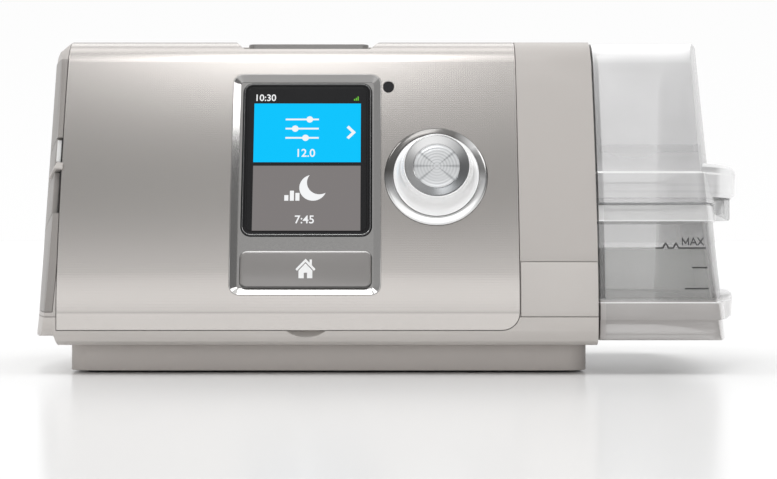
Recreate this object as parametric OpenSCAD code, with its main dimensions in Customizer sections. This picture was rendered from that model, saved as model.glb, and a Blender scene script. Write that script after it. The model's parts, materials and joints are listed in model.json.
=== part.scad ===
/* [Case] */
// Width of the case, from the bulge of the left side to the humidifier end
body_w = 196.6; // [190:0.1:215]
// Depth of the case, front to rear wall
body_d = 135.8; // [134:0.2:160]
// Height of the case above its plinth
case_h = 106; // [102:0.5:120]
// Height of the plinth that carries the case
plinth_h = 10; // [8:0.5:14]
// Wall thickness of the case shells
wall = 2.6; // [2:0.1:3]
// Height of the lower pan, above the underside of the case
pan_h = 9.6; // [8:0.2:12]
// Tilt of the front face where it leaves the chin, in degrees from upright
tilt_low = 12; // [10:0.5:14]
// Tilt of the front face just under the top edge, in degrees from upright
tilt_high = 24; // [22:0.5:26]
// Radius that turns the front face into the top
top_r = 14; // [11:0.5:16]
// Radius of the top rear edge
rear_r = 12; // [6:0.5:16]
// Radius of the bulged left side, seen from above
side_r = 200; // [170:5:260]
// Lean of the left side, in degrees
side_lean = 0.9; // [0.5:0.1:1.1]
/* [Fascia] */
// Width of the metal-look front fascia
fascia_w = 156.3; // [152:0.1:158]
// Distance from the bulge of the left side to the edge of the fascia
fascia_gap = 13.8; // [13:0.1:16]
// Thickness of the fascia
fascia_t = 2; // [1.6:0.1:2.2]
// How far back over the top the fascia reaches, from the front of the case
fascia_back = 58; // [56:0.5:66]
// Height of the chin strip that shows under the fascia
chin_h = 5.2; // [4:0.1:7]
/* [Controls] */
// Width of the recess that holds the screen and home button
recess_w = 50; // [48:0.5:54]
// Height of that recess along the face
recess_h = 79.5; // [78:0.5:82]
// Depth of the recess floor under the middle of the face
recess_d = 3.6; // [3.2:0.1:4]
// Width of the screen glass
screen_w = 44.8; // [42:0.1:46]
// Height of the screen glass
screen_h = 56; // [52:0.5:57]
// Width of the home button
home_w = 44.8; // [40:0.1:45]
// Height of the home button
home_h = 12.6; // [11:0.1:13.2]
// Diameter of the ring around the dial
ring_d = 35.2; // [33:0.1:38]
// Diameter of the dial at its skirt
dial_d = 29.2; // [26:0.1:31]
// Height of the dial above the face
dial_h = 11.4; // [9:0.1:14]
// Diameter of the metal cap of the dial
cap_d = 22.6; // [20:0.1:24]
// Width of the start and stop button
start_w = 43; // [38:0.5:48]
// Depth of the start and stop button
start_d = 14; // [10:0.5:15]
/* [Humidifier tub] */
// How far the tub and its grip reach past the case
tub_reach = 58.4; // [56:0.1:62]
// How far the tub goes into the bay
tub_in = 36; // [32:0.5:40]
// Wall thickness of the tub
tub_wall = 1.8; // [1.4:0.1:2.2]
// Height of the parting between tub base and lid, above the floor
tub_part_z = 58.2; // [56:0.2:60]
// Length that the upper grip lip stands out of the lid wall
grip_reach = 8.4; // [7:0.2:9]
/* [Ports] */
// Outer diameter of the air outlet, a standard 22 mm breathing connector
outlet_d = 22; // [21.8:0.1:22.4]
// How far the air outlet stands out of the rear wall
outlet_reach = 10; // [9:0.5:14]
// Bore of the air ports between case and tub
port_d = 18; // [15:0.5:19]
/* [Hidden] */
// Clearance between fixed pieces, and around moving ones
fit = 0.2;
run = 0.3;
// Radial play of a pin that is held, and of one that turns
held = 0.02;
turns = 0.08;

// Outer limits, with the origin on the floor under the middle of the whole machine
x0 = -(body_w + tub_reach) / 2;
x1 = x0 + body_w;
x_end = x1 + tub_reach;
z0 = plinth_h;
zt = z0 + case_h;
z_split = z0 + pan_h;
z_chin = z0 + chin_h;
z_floor = z0 + wall;
fx0 = x0 + fascia_gap;
fx1 = fx0 + fascia_w;
seat_d = fascia_t + fit;
deep_wall = seat_d + wall;

// The side view of the case is a chain of tangent arcs
chin_r = 5;
heel_r = 6;
low_r = 60;
nose_h = 12;
z_nose = z0 + nose_h;
face_r = (zt - z_nose - low_r * sin(tilt_low) - top_r * (1 - sin(tilt_high)))
    / (sin(tilt_high) - sin(tilt_low));
face_low = z_nose - (face_r - low_r) * sin(tilt_low);
face_deep = low_r + (face_r - low_r) * cos(tilt_low);

// The middle of the front face, where the dial and the screen sit
face_h = 56.2;
z_face = z0 + face_h;
function skin_tilt(z) = asin((z - face_low) / face_r);
dial_y = 1.3;

// The dial stands out in front of the case, and the whole depth is centred
dial_out = dial_h * cos(skin_tilt(z_face)) + (cap_d / 2 - dial_y) * sin(skin_tilt(z_face))
    - (face_deep - face_r * cos(skin_tilt(z_face)));
y0 = dial_out - (dial_out + body_d + outlet_reach) / 2;
y1 = y0 + body_d;
y_fascia = y0 + fascia_back;
low_c = [y0 + low_r, z_nose];
face_c = low_c + (face_r - low_r) * [cos(tilt_low), -sin(tilt_low)];
top_c = face_c + (face_r - top_r) * [-cos(tilt_high), sin(tilt_high)];

function arc(c, r, a, b, n) =
    [for (i = [0:n]) let (t = a + (b - a) * i / n) [c.x - r * cos(t), c.y + r * sin(t)]];

// Side view of the case, y and z, moved inwards by t
function side_view(t) = let (
    cr = max(chin_r, t + 0.4),
    hr = max(heel_r, t + 0.4)) concat(
    arc([y0 + cr, z0 + cr], cr - t, -90, 0, 4),
    arc(low_c, low_r - t, 0, tilt_low - 2, 3),
    arc(face_c, face_r - t, tilt_low, tilt_high, 9),
    arc(top_c, top_r - t, tilt_high + 6, 90, 8),
    arc([y1 - rear_r, zt - rear_r], rear_r - t, 90, 180, 7),
    arc([y1 - hr, z0 + hr], hr - t, 180, 270, 4));

// Where the controls sit: from the edges of the fascia, and up and down the face
screen_in = 83.9;
screen_x = fx0 + screen_in;
screen_y = 7.9;
recess_y = -1.15;
home_y = -31.3;
dial_in = 28;
dial_x = fx1 - dial_in;
sensor_side = 16.3;
sensor_x = dial_x - sensor_side;
sensor_up = 32.7;
sensor_z = z_face + sensor_up;
start_side = 0.5;
start_x = screen_x - start_side;
start_in = 4;
start_y = y_fascia - start_d / 2 - start_in;

// Places inside the case
seal_reach = 4.9;
bay_x = x1 - tub_in - seal_reach - fit;
liner_t = 1.6;
liner_gap = 0.3;
liner_in = wall + liner_gap + liner_t;
tub_inset = liner_in + 0.6;
tub_x = x1 - tub_in;
tub_out_x = x1 + 0.8;
tub_right = x_end - grip_reach;
back_lean = 17;
bulge_in = 60.75;
y_bulge = y0 + bulge_in;
tub_lean = 3;
side_round = 10;

module slab_x(a, b, pts) {
    translate([a, 0, 0]) rotate([90, 0, 90]) linear_extrude(b - a) polygon(pts);
}
module slab_y(a, b, pts) {
    translate([0, b, 0]) rotate([90, 0, 0]) linear_extrude(b - a) polygon(pts);
}
module box(a, b) {
    translate(a) cube(b - a);
}
module tube(r_out, r_in, h) {
    difference() {
        cylinder(r = r_out, h = h, $fn = 64);
        translate([0, 0, -1]) cylinder(r = r_in, h = h + 2, $fn = 64);
    }
}
module rounded_plate(w, h, t, r) {
    translate([-w / 2 + r, -h / 2, 0]) cube([w - 2 * r, h, t]);
    translate([-w / 2, -h / 2 + r, 0]) cube([w, h - 2 * r, t]);
    for (x = [-1, 1], y = [-1, 1]) {
        translate([x * (w / 2 - r), y * (h / 2 - r), 0]) cylinder(r = r, h = t, $fn = 32);
    }
}
// Puts its children on the front face at height z: their z is the outward normal, their y runs up
module on_skin(x, z) {
    tilt = skin_tilt(z);
    translate([x, face_c.x - face_r * cos(tilt), z]) rotate([90 - tilt, 0, 0]) children();
}
// The flat frame in which the screen, the home button and the dial are set out
module on_face(x = 0, y = 0) {
    on_skin(x, z_face) translate([0, y, 0]) children();
}
module oval_plate(r, l, t) {
    for (s = [-0.5, 0.5]) {
        translate([0, s * l, 0]) cylinder(r = r, h = t, $fn = 32);
    }
    translate([-r, -l / 2, 0]) cube([2 * r, l, t]);
}
// A frame that leans back with the bulged left side
module in_side() {
    translate([x0, y_bulge, z0]) rotate([-back_lean, side_lean, 0]) children();
}
// The upright barrel that shapes the left side, moved inwards by t
barrel_low = -80;
barrel_h = 330;
module left_barrel(t) {
    in_side() translate([side_r, 0, barrel_low]) cylinder(r = side_r - t, h = barrel_h, $fn = 200);
}
module right_barrel(t) {
    translate([tub_right, y_bulge, z0]) rotate([-back_lean, -tub_lean, 0])
        translate([-side_r, 0, barrel_low]) cylinder(r = side_r - t, h = barrel_h, $fn = 200);
}
// Front view of the case, x and z, which rounds its top and bottom left edges
top_in = 1.6;
function front_view(t) = concat(
    arc([x0 + heel_r, z0 + heel_r], heel_r + 0.1 - min(t, heel_r - 1), -90, 0, 5),
    arc([x0 + top_in + side_round, zt - side_round], side_round - t, 0, 90, 6),
    [[x1 + 60, zt - t], [x1 + 60, z0 - 0.1 + min(t, heel_r - 1)]]);

module case_solid(t, right = 0) {
    intersection() {
        slab_x(x0 - 1, x1 - right, side_view(t));
        left_barrel(t);
        slab_y(y0 - 5, y1 + 5, front_view(t));
    }
}
// Front view of the fascia, x and z, grown by f
fascia_corner = 6;
function fascia_view(f) = concat(
    [[fx0 - f, zt + 10], [fx0 - f, z_chin - f]],
    [for (i = [0:6]) let (t = -90 + 15 * i)
        [fx1 - fascia_corner + (fascia_corner + f) * cos(t),
            z_chin + fascia_corner + (fascia_corner + f) * sin(t)]],
    [[fx1 + f, zt + 10]]);
// The room that the fascia takes in the case and pan
module fascia_room() {
    difference() {
        slab_y(y0 - 5, y_fascia + fit, fascia_view(fit));
        slab_x(x0 - 5, x1 + 5, side_view(seat_d));
    }
}

// The left side panel, with its two doors
side_t = 2.4;
side_rise = 1.8;
side_drop = 7;
side_z0 = z_split + side_rise;
side_z1 = zt - side_drop;
side_back = 30;
door_turn = 14.2;
door_w = 30;
door_t = 2.2;
door_out = 3;
door_deep = 10;
sd_z = [45.4, 54.4];
port_z = [27.3, 42.3];
knuckle_r = 1.6;
pin_r = 0.7;
pin_x = 2.1;
pin_y = 13.2;
pin_past = 1;
// Puts its children on the left side, where the doors are: x runs inwards and y to the rear
module at_doors() {
    in_side() translate([side_r, 0, 0]) rotate([0, 0, door_turn]) translate([-side_r, 0, 0]) children();
}
module door_hole(z, f) {
    at_doors() translate([-door_out, -door_w / 2 - f, z[0] - f])
        cube([door_deep, door_w + 3 * f, z[1] - z[0] + 2 * f]);
}
module side_door(z) {
    difference() {
        union() {
            intersection() {
                at_doors() translate([-door_out, -door_w / 2, z[0]])
                    cube([door_deep, door_w / 2 + pin_y, z[1] - z[0]]);
                difference() {
                    left_barrel(0);
                    left_barrel(door_t);
                }
            }
            at_doors() translate([pin_x, pin_y, z[0]]) cylinder(r = knuckle_r, h = z[1] - z[0], $fn = 32);
        }
        at_doors() translate([pin_x, pin_y, z[0] - pin_past])
            cylinder(r = pin_r + turns, h = z[1] - z[0] + 2 * pin_past, $fn = 24);
    }
}
module sd_door() {
    color([0.6, 0.58, 0.56]) side_door(sd_z);
}
module port_cover() {
    color([0.6, 0.58, 0.56]) side_door(port_z);
}
module door_hinge_pins() {
    color("silver") for (z = [sd_z, port_z]) {
        at_doors() translate([pin_x, pin_y, z[0] - pin_past])
            cylinder(r = pin_r, h = z[1] - z[0] + 2 * pin_past, $fn = 24);
    }
}
module side_room(f) {
    intersection() {
        box([x0 - 5, y0 - 5, side_z0 - f], [fx0 - fit, side_back + f, side_z1 + f]);
        difference() {
            box([x0 - 9, y0 - 9, z0], [fx0 + 9, y1, zt]);
            left_barrel(side_t + f);
        }
    }
}
module left_side_panel() {
    color([0.6, 0.58, 0.56]) difference() {
        intersection() {
            case_solid(0);
            side_room(0);
        }
        door_hole(sd_z, run);
        door_hole(port_z, run);
        for (z = [sd_z, port_z]) {
            at_doors() translate([pin_x, pin_y, z[0] - pin_past - 0.05])
                cylinder(r = pin_r + held, h = z[1] - z[0] + 2 * pin_past + 0.1, $fn = 24);
        }
    }
}

// Rear wall features
filter_in = 44;
filter_x = x0 + filter_in;
filter_up = 49;
filter_z = z0 + filter_up;
filter_w = 40;
filter_h = 50;
cover_t = 1.6;
cover_knuckle_r = 1.25;
cover_pin_r = 0.6;
cover_pin_in = 1.5;
cover_pin_x = filter_x + filter_w / 2 - cover_pin_in;
cover_pin_y = y1 - cover_knuckle_r - 0.05;
cover_pin_past = 1.5;
cover_room = 1.6;
// The opening behind the filter, which the pad fills
pad_deep = 9;
pad_left = filter_x - 16.5;
pad_right = filter_x + 15;
pad_half = 23;
louvre_count = 4;
louvre_step = 4.6;
louvre_half = 1.1;
louvre_left = filter_x - 14;
louvre_right = filter_x + 12;
outlet_in = 63;
outlet_x = x1 - outlet_in;
outlet_drop = 28;
outlet_z = zt - outlet_drop;
inlet_in = 57;
inlet_x = x1 - inlet_in;
inlet_up = 20;
inlet_z = z0 + inlet_up;
inlet_w = 18;
inlet_h = 14;

module filter_cover() {
    color([0.75, 0.73, 0.71]) difference() {
        union() {
            box([filter_x - filter_w / 2, y1 - cover_t, filter_z - filter_h / 2],
                [cover_pin_x, y1, filter_z + filter_h / 2]);
            translate([cover_pin_x, cover_pin_y, filter_z - filter_h / 2])
                cylinder(r = cover_knuckle_r, h = filter_h, $fn = 32);
        }
        translate([cover_pin_x, cover_pin_y, filter_z - filter_h / 2 - 1])
            cylinder(r = cover_pin_r + turns, h = filter_h + 2, $fn = 24);
        for (i = [-louvre_count:louvre_count]) {
            box([louvre_left, y1 - cover_t - 1, filter_z + louvre_step * i - louvre_half],
                [louvre_right, y1 + 1, filter_z + louvre_step * i + louvre_half]);
        }
    }
}
module filter_cover_pin() {
    color("silver") translate([cover_pin_x, cover_pin_y, filter_z - filter_h / 2 - cover_pin_past])
        cylinder(r = cover_pin_r, h = filter_h + 2 * cover_pin_past, $fn = 24);
}

// The case, without its fascia and side panel
label_z0 = z_split;
label_up = 28.2;
label_z1 = z0 + label_up;
label_t = 1;
module label_room(f) {
    difference() {
        box([fx1 + fit, y0 - 5, label_z0 - f], [x1 + 5, y0 + 20, label_z1 + f]);
        slab_x(x0, x1 + 9, side_view(label_t + f));
    }
}
module end_label_panel() {
    color([0.72, 0.7, 0.67]) intersection() {
        slab_x(fx1 + 2 * fit, x1, side_view(0));
        label_room(0);
        slab_y(y0 - 5, y0 + 20, [[fx1 + 2 * fit, label_z0 + fit], [x1, label_z0 + fit],
            [x1, label_z1], [fx1 + 2 * fit, label_z1]]);
    }
}
module case_hollow() {
    case_solid(deep_wall, wall);
    intersection() {
        case_solid(wall, wall);
        union() {
            box([fx0 + 10, y_fascia + 3, z0], [x1, y1, zt]);
            box([bay_x - 3, y0, z0], [x1, y1, zt]);
        }
    }
    intersection() {
        slab_x(bay_x - 3, fx1 - 1, side_view(fascia_t));
        box([bay_x - 3, y0, z_split], [fx1 - 1, y_fascia - 1, zt]);
    }
}
// The thick part of the fascia that holds the start button, grown by f
pocket_side = 6;
pocket_back = 2.5;
pocket_h = 5;
recess_top = 4;
recess_low = 0.6;
start_recess = 3.1;
module start_pocket(f) {
    intersection() {
        box([start_x - start_w / 2 - pocket_side - f, y0, zt - pocket_h - f],
            [start_x + start_w / 2 + pocket_side + f, start_y + start_d / 2 + pocket_back + f, zt]);
        slab_x(x0, x1, side_view(0));
    }
}
// Front view of the recess round the start button, which has sloped ends
function start_view() = [
    [start_x - start_w / 2 - recess_low, zt - start_recess],
    [start_x + start_w / 2 + recess_low, zt - start_recess],
    [start_x + start_w / 2 + recess_top + 1, zt + 1],
    [start_x - start_w / 2 - recess_top - 1, zt + 1]];
// The hole for the start button, grown by f, down to a depth under the top
module start_room(f, depth) {
    box([start_x - start_w / 2 - f, start_y - start_d / 2 - f, zt - depth],
        [start_x + start_w / 2 + f, start_y + start_d / 2 + f, zt + 1]);
}
module main_case() {
    color([0.75, 0.72, 0.69]) difference() {
        case_solid(0);
        box([x0 - 9, y0 - 9, z0 - 9], [x1 + 9, y1 + 9, z_split + fit]);
        fascia_room();
        side_room(fit);
        label_room(fit);
        case_hollow();
        // Openings behind the fascia for the screen, the dial, the sensor and the start button
        on_face(screen_x, recess_y) translate([0, 0, -20])
            rounded_plate(recess_w + 0.6, recess_h + 0.6, 30, recess_corner + 0.1);
        on_face(dial_x, dial_y) translate([0, 0, -20]) cylinder(r = 9.2, h = 30, $fn = 48);
        on_skin(sensor_x, sensor_z) translate([0, 0, -9]) oval_plate(sensor_r + 1, sensor_l, 12);
        start_pocket(fit);
        start_room(0, 9);
        // The mouth of the humidifier bay
        slab_x(x1 - wall - 1, x1 + 1, side_view(liner_in));
        // Slots behind the two side doors
        at_doors() translate([-1, -card_w / 2 - 1.3, card_z - 2.5]) cube([14, card_w + 2.6, 5]);
        at_doors() translate([-1, -port_w / 2 - run, port_mid - port_h / 2 - run])
            cube([14, port_w + 2 * run, port_h + 2 * run]);
        door_knuckle_room();
        // Air inlet behind the filter cover, with its hinge
        box([filter_x - filter_w / 2 - run, y1 - cover_t - run, filter_z - filter_h / 2 - run],
            [cover_pin_x + cover_room, y1 + 1, filter_z + filter_h / 2 + run]);
        box([cover_pin_x - cover_room, y1 - pad_deep, filter_z - filter_h / 2 - run],
            [cover_pin_x + cover_room, y1 + 1, filter_z + filter_h / 2 + run]);
        box([pad_left, y1 - pad_deep, filter_z - pad_half], [pad_right, y1, filter_z + pad_half]);
        translate([cover_pin_x, cover_pin_y, filter_z - filter_h / 2 - cover_pin_past - 0.05])
            cylinder(r = cover_pin_r + held, h = filter_h + 2 * cover_pin_past + 0.1, $fn = 24);
        // Air outlet and power inlet
        translate([outlet_x, y1 - 2 * wall, outlet_z]) rotate([-90, 0, 0])
            cylinder(d = outlet_d - 0.2, h = 4 * wall, $fn = 64);
        box([inlet_x - inlet_w / 2 - fit, y1 - 2 * wall, inlet_z - inlet_h / 2 - fit],
            [inlet_x + inlet_w / 2 + fit, y1 + 1, inlet_z + inlet_h / 2 + fit]);
    }
}
module door_knuckle_room() {
    for (z = [sd_z, port_z]) {
        at_doors() translate([pin_x, pin_y, z[0] - 2])
            cylinder(r = knuckle_r + 0.5, h = z[1] - z[0] + 4, $fn = 32);
    }
}

// Lower pan, with posts for the main board and the plinth screws
post_x = [x0 + 44, bay_x - 10];
post_y = [y0 + 28, y1 - 22];
post_r = 4;
board_y = [y0 + 23, y0 + 58];
board_side = [x0 + 24, bay_x - 4];
post_at = [for (x = post_x, y = post_y) [x, y]];
board_post_at = [for (x = post_x) [x, board_y[1] - post_r]];
board_h = 3;
board_z = z_floor + board_h;
screw_r = 1.5;
screw_head_r = 2.8;
notch_out = 5;
notch_up = 7.3;
notch_r = 11.3;
module pan_hollow() {
    intersection() {
        box([x0, y0 + deep_wall, z_floor], [x1 - wall, y1 - wall, zt]);
        left_barrel(deep_wall);
    }
    intersection() {
        case_solid(wall, wall);
        box([bay_x - 3, y0, z0], [x1, y1, zt]);
    }
    box([bay_x - 3, y0 + seat_d - 0.1, z_chin - fit], [fx1 - 1, y0 + deep_wall, zt]);
    box([x1 - wall - 1, y0 + deep_wall, z_floor + 2], [x1 + 1, y1 - wall - 2.4, zt]);
}
module base_pan() {
    color([0.7, 0.67, 0.65]) difference() {
        union() {
            difference() {
                case_solid(0);
                box([x0 - 9, y0 - 9, z_split], [x1 + 9, y1 + 9, zt + 9]);
                fascia_room();
                pan_hollow();
            }
            for (p = concat(post_at, board_post_at)) {
                translate([p.x, p.y, z_floor - 1]) cylinder(r = post_r, h = board_h + 1, $fn = 32);
            }
        }
        for (p = post_at) {
            translate([p.x, p.y, z0 - 1]) cylinder(r = screw_r + held, h = 20, $fn = 24);
        }
        // Thumb notch under the middle of the fascia
        intersection() {
            translate([screen_x + run, y0 - notch_out, z_chin + notch_up]) sphere(r = notch_r, $fn = 64);
            box([x0, y0 - 9, z0], [x1, y0 + 9, z_chin]);
        }
    }
}
module front_fascia() {
    color([0.78, 0.76, 0.74]) difference() {
        union() {
            difference() {
                intersection() {
                    slab_x(fx0, fx1, side_view(0));
                    slab_y(y0 - 5, y_fascia, fascia_view(0));
                }
                slab_x(fx0 - 1, fx1 + 1, side_view(fascia_t));
            }
            start_pocket(0);
        }
        // Recess and hole for the start button
        slab_y(top_c.x - 30, start_y + start_d / 2 + recess_low, start_view());
        start_room(run, 9);
        on_face(screen_x, recess_y) translate([0, 0, -20])
            rounded_plate(recess_w + 0.3, recess_h + 0.3, 30, recess_corner + 0.1);
        on_face(dial_x, dial_y) translate([0, 0, -20]) cylinder(d = ring_d + 0.1, h = 30, $fn = 96);
        on_skin(sensor_x, sensor_z) translate([0, 0, -9]) oval_plate(sensor_r + 0.1, sensor_l, 12);
    }
}

// The screen, home button and dial, stacked behind the face
lens_t = 2;
lens_corner = 3.5;
lens_top = -recess_d + 0.6;
recess_corner = 3.4;
frame_floor = -recess_d;
frame_t = 2.2;
frame_back = frame_floor - frame_t;
rim_w = 0.3;
slope_w = 2.1;
slope_h = 3.5;
lcd_w = 40;
lcd_h = 53;
lcd_t = 3;
lcd_top = frame_back - 0.05;
board_t = 1.6;
ui_top = lcd_top - lcd_t - 0.25;
ui_side = 26;
ui_low = 8;
ui_h = 76;
ui_gap = 3.5;
boss_r = 2;
press = 0.6;
home_top = frame_floor + 1;
home_t = 3;
sensor_r = 1.75;
sensor_l = 0.7;
encoder_w = 12;
encoder_top = -2.4;
encoder_floor = 1.2;
ring_floor = -2;
knob_base = 0.2;
shaft_r = 3;

module screen_recess(grow) {
    run_up = (recess_d + grow) / recess_d;
    w = recess_w - 2 * rim_w - 2 * slope_w;
    h = recess_h - 2 * rim_w - 2 * slope_w;
    hull() {
        translate([0, 0, frame_floor]) rounded_plate(w, h, 0.01, 1.3);
        translate([0, 0, grow]) rounded_plate(w + 2 * slope_w * run_up, h + 2 * slope_h * run_up, 0.01, 3.2);
    }
}
module display_bezel() {
    color("silver") difference() {
        intersection() {
            on_face(screen_x, recess_y) translate([0, 0, frame_back]) union() {
                rounded_plate(recess_w, recess_h, 20, recess_corner);
                for (x = [-1, 1], y = [-24, 36.5]) {
                    translate([x * (lcd_w / 2 + boss_r + 0.4), y, ui_top - frame_back])
                        cylinder(r = boss_r, h = frame_back - ui_top + 1, $fn = 24);
                }
            }
            slab_x(x0, x1, side_view(0));
        }
        on_face(screen_x, recess_y) screen_recess(1);
        on_face(screen_x, screen_y) translate([0, 0, lens_top - lens_t - 0.05])
            rounded_plate(screen_w + fit, screen_h + fit, 20, lens_corner + fit / 2);
        on_face(screen_x, screen_y) translate([0, 0, -20]) rounded_plate(lcd_w, lcd_h, 30, 1);
        on_face(screen_x, home_y) translate([0, 0, -20]) rounded_plate(home_w + 0.3, home_h + 0.4, 30, 2.7);
    }
}
module screen_lens() {
    color([0.05, 0.05, 0.06]) on_face(screen_x, screen_y) translate([0, 0, lens_top - lens_t])
        rounded_plate(screen_w, screen_h, lens_t, lens_corner);
}
module lcd_module() {
    color([0, 0.6, 0.85]) on_face(screen_x, screen_y) translate([0, 0, lcd_top - lcd_t])
        rounded_plate(lcd_w, lcd_h, lcd_t, 1);
}
module light_sensor_window() {
    color([0.06, 0.06, 0.07]) on_skin(sensor_x, sensor_z) {
        translate([0, 0, -3]) oval_plate(sensor_r, sensor_l, 2.8);
        translate([0, 0, -3]) oval_plate(sensor_r + 0.8, sensor_l, 0.8);
    }
}
module ui_board() {
    left = screen_x - ui_side;
    color([0.1, 0.35, 0.2]) on_face() translate([left, home_y - ui_low, ui_top - board_t])
        cube([bay_x - ui_gap - left, ui_h, board_t]);
}
module home_switch() {
    color([0.2, 0.2, 0.2]) on_face(screen_x, home_y) translate([-3, -3, ui_top])
        cube([6, 6, home_top - home_t - press - 0.05 - ui_top]);
}
module home_button() {
    color([0.55, 0.54, 0.53]) on_face(screen_x, home_y) translate([0, 0, home_top - home_t])
        rounded_plate(home_w - 0.1, home_h, home_t, 2.5);
}
module dial_surround() {
    color("silver") on_face(dial_x, dial_y) rotate_extrude($fn = 96) polygon(concat(
        [[9.4, ring_floor], [ring_d / 2, ring_floor], [ring_d / 2, 0.2]],
        [for (t = [15:15:90]) [ring_d / 2 - 1.2 + 1.2 * cos(t), 0.2 + 1.2 * sin(t)]],
        [[dial_d / 2 + 0.9, 0.9], [dial_d / 2 + 0.4, ring_floor + 1.1], [9.4, ring_floor + 1.1]]));
}
module dial_encoder() {
    color([0.3, 0.3, 0.32]) on_face(dial_x, dial_y) difference() {
        translate([-encoder_w / 2, -encoder_w / 2, ui_top])
            cube([encoder_w, encoder_w, encoder_top - ui_top]);
        translate([0, 0, ui_top + encoder_floor]) cylinder(r = shaft_r + 0.05, h = 20, $fn = 48);
    }
}
module dial_shaft() {
    shaft_low = ui_top + encoder_floor + press + 0.3;
    color("silver") on_face(dial_x, dial_y) translate([0, 0, shaft_low])
        cylinder(r = shaft_r, h = dial_h - 3 - shaft_low, $fn = 48);
}
// Side view of the dial: a skirt that sweeps up to the cap in a hollow curve
cap_seat = dial_h - 1.6;
module dial_knob() {
    base_r = dial_d / 2;
    rim_r = cap_d / 2;
    color([0.95, 0.95, 0.96]) on_face(dial_x, dial_y) rotate_extrude($fn = 96) polygon(concat(
        [[shaft_r + 0.05, knob_base + 0.6], [shaft_r + 2.4, knob_base + 0.6], [shaft_r + 2.4, cap_seat - 2.2],
            [rim_r - 1.6, cap_seat - 2.2], [rim_r, knob_base + 2.6], [base_r - 1.4, knob_base]],
        [[base_r, knob_base]],
        [for (i = [1:7]) let (u = i / 7) [
            base_r + (rim_r - base_r) * sin(90 * u),
            knob_base + 1.2 + (dial_h - 0.6 - knob_base - 1.2) * (1 - cos(90 * u))]],
        [[rim_r - 0.3, dial_h], [rim_r - 0.9, dial_h], [rim_r - 0.9, cap_seat],
            [shaft_r + 0.05, cap_seat]]));
}
module dial_cap() {
    color([0.6, 0.6, 0.62]) on_face(dial_x, dial_y) translate([0, 0, cap_seat + 0.02])
        rotate_extrude($fn = 96) polygon([[0, 0], [cap_d / 2 - 0.95, 0], [cap_d / 2 - 0.95, 1.5],
            [8.3, 1.1], [8, 0.7], [0, 0.9]]);
}

// The start and stop button in the top
start_drop = 0.3;
start_top = zt - start_drop;
start_t = 3.2;
start_board_top = zt - pocket_h - 0.05;
module start_board() {
    color([0.1, 0.35, 0.2]) translate([start_x, start_y, start_board_top - board_t])
        rounded_plate(start_w + 8, start_d + 4, board_t, 1.5);
}
module start_switch() {
    color([0.2, 0.2, 0.2]) translate([start_x - 3, start_y - 3, start_board_top])
        cube([6, 6, start_top - start_t - press - 0.05 - start_board_top]);
}
module start_button() {
    color([0.7, 0.68, 0.66]) translate([start_x, start_y, start_top - start_t])
        rounded_plate(start_w, start_d, start_t, 3);
}

// Card, card socket and accessory socket behind the side doors
card_z = (sd_z[0] + sd_z[1]) / 2;
card_w = 24;
card_l = 31.5;
card_t = 2.1;
card_in = 3.3;
socket_in = 4;
socket_wall = 0.7;
socket_shell = 0.9;
port_mid = (port_z[0] + port_z[1]) / 2;
port_w = 17.4;
port_h = 9.4;
port_in = 3.4;
port_deep = 9;
port_wall = 2;
module sd_socket() {
    hole_w = card_w + 2 * run;
    hole_t = card_t + 0.5;
    color([0.75, 0.75, 0.72]) at_doors() difference() {
        translate([socket_in, -hole_w / 2 - socket_wall, card_z - hole_t / 2 - socket_shell])
            cube([card_l + 1.5, hole_w + 2 * socket_wall, hole_t + 2 * socket_shell]);
        translate([socket_in - 1, -hole_w / 2, card_z - hole_t / 2]) cube([card_l + 1.5, hole_w, hole_t]);
    }
}
module sd_card() {
    color([0.15, 0.2, 0.45]) at_doors() translate([card_in, -card_w / 2, card_z - card_t / 2])
        cube([card_l, card_w, card_t]);
}
module accessory_socket() {
    color([0.1, 0.1, 0.1]) at_doors() difference() {
        translate([port_in, -port_w / 2, port_mid - port_h / 2]) cube([port_deep, port_w, port_h]);
        translate([port_in - 1, -port_w / 2 + port_wall, port_mid - port_h / 2 + port_wall])
            cube([port_deep - 1, port_w - 2 * port_wall, port_h - 2 * port_wall]);
    }
}

// Electronics and power
module main_board() {
    color([0.1, 0.4, 0.22]) box([board_side[0], board_y[0], board_z],
        [board_side[1], board_y[1], board_z + board_t]);
}
modem_in = 8;
modem_front = 5;
modem_w = 30;
modem_d = 22;
modem_t = 3;
module modem_module() {
    color("silver") translate([board_side[0] + modem_in, board_y[0] + modem_front, board_z + board_t])
        cube([modem_w, modem_d, modem_t]);
}
inlet_out = 4.5;
clip_pivot_y = y1 + 2.5;
clip_arm = 18;
module power_inlet() {
    color([0.12, 0.12, 0.13]) difference() {
        union() {
            box([inlet_x - inlet_w / 2, y1 - 20, inlet_z - inlet_h / 2],
                [inlet_x + inlet_w / 2, y1 + inlet_out, inlet_z + inlet_h / 2]);
            translate([inlet_x - inlet_w / 2 - 2.4, clip_pivot_y, inlet_z]) rotate([0, 90, 0])
                cylinder(r = 1.2, h = inlet_w + 4.8, $fn = 32);
        }
        box([inlet_x - inlet_w / 2 + 2, y1 - 12, inlet_z - inlet_h / 2 + 2],
            [inlet_x + inlet_w / 2 - 2, y1 + 9, inlet_z + inlet_h / 2 - 2]);
    }
    for (x = [-4, 0, 4]) {
        color("silver") translate([inlet_x + x, y1 - 12.5, inlet_z]) rotate([-90, 0, 0])
            cylinder(r = 0.8, h = 11, $fn = 24);
    }
}
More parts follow.
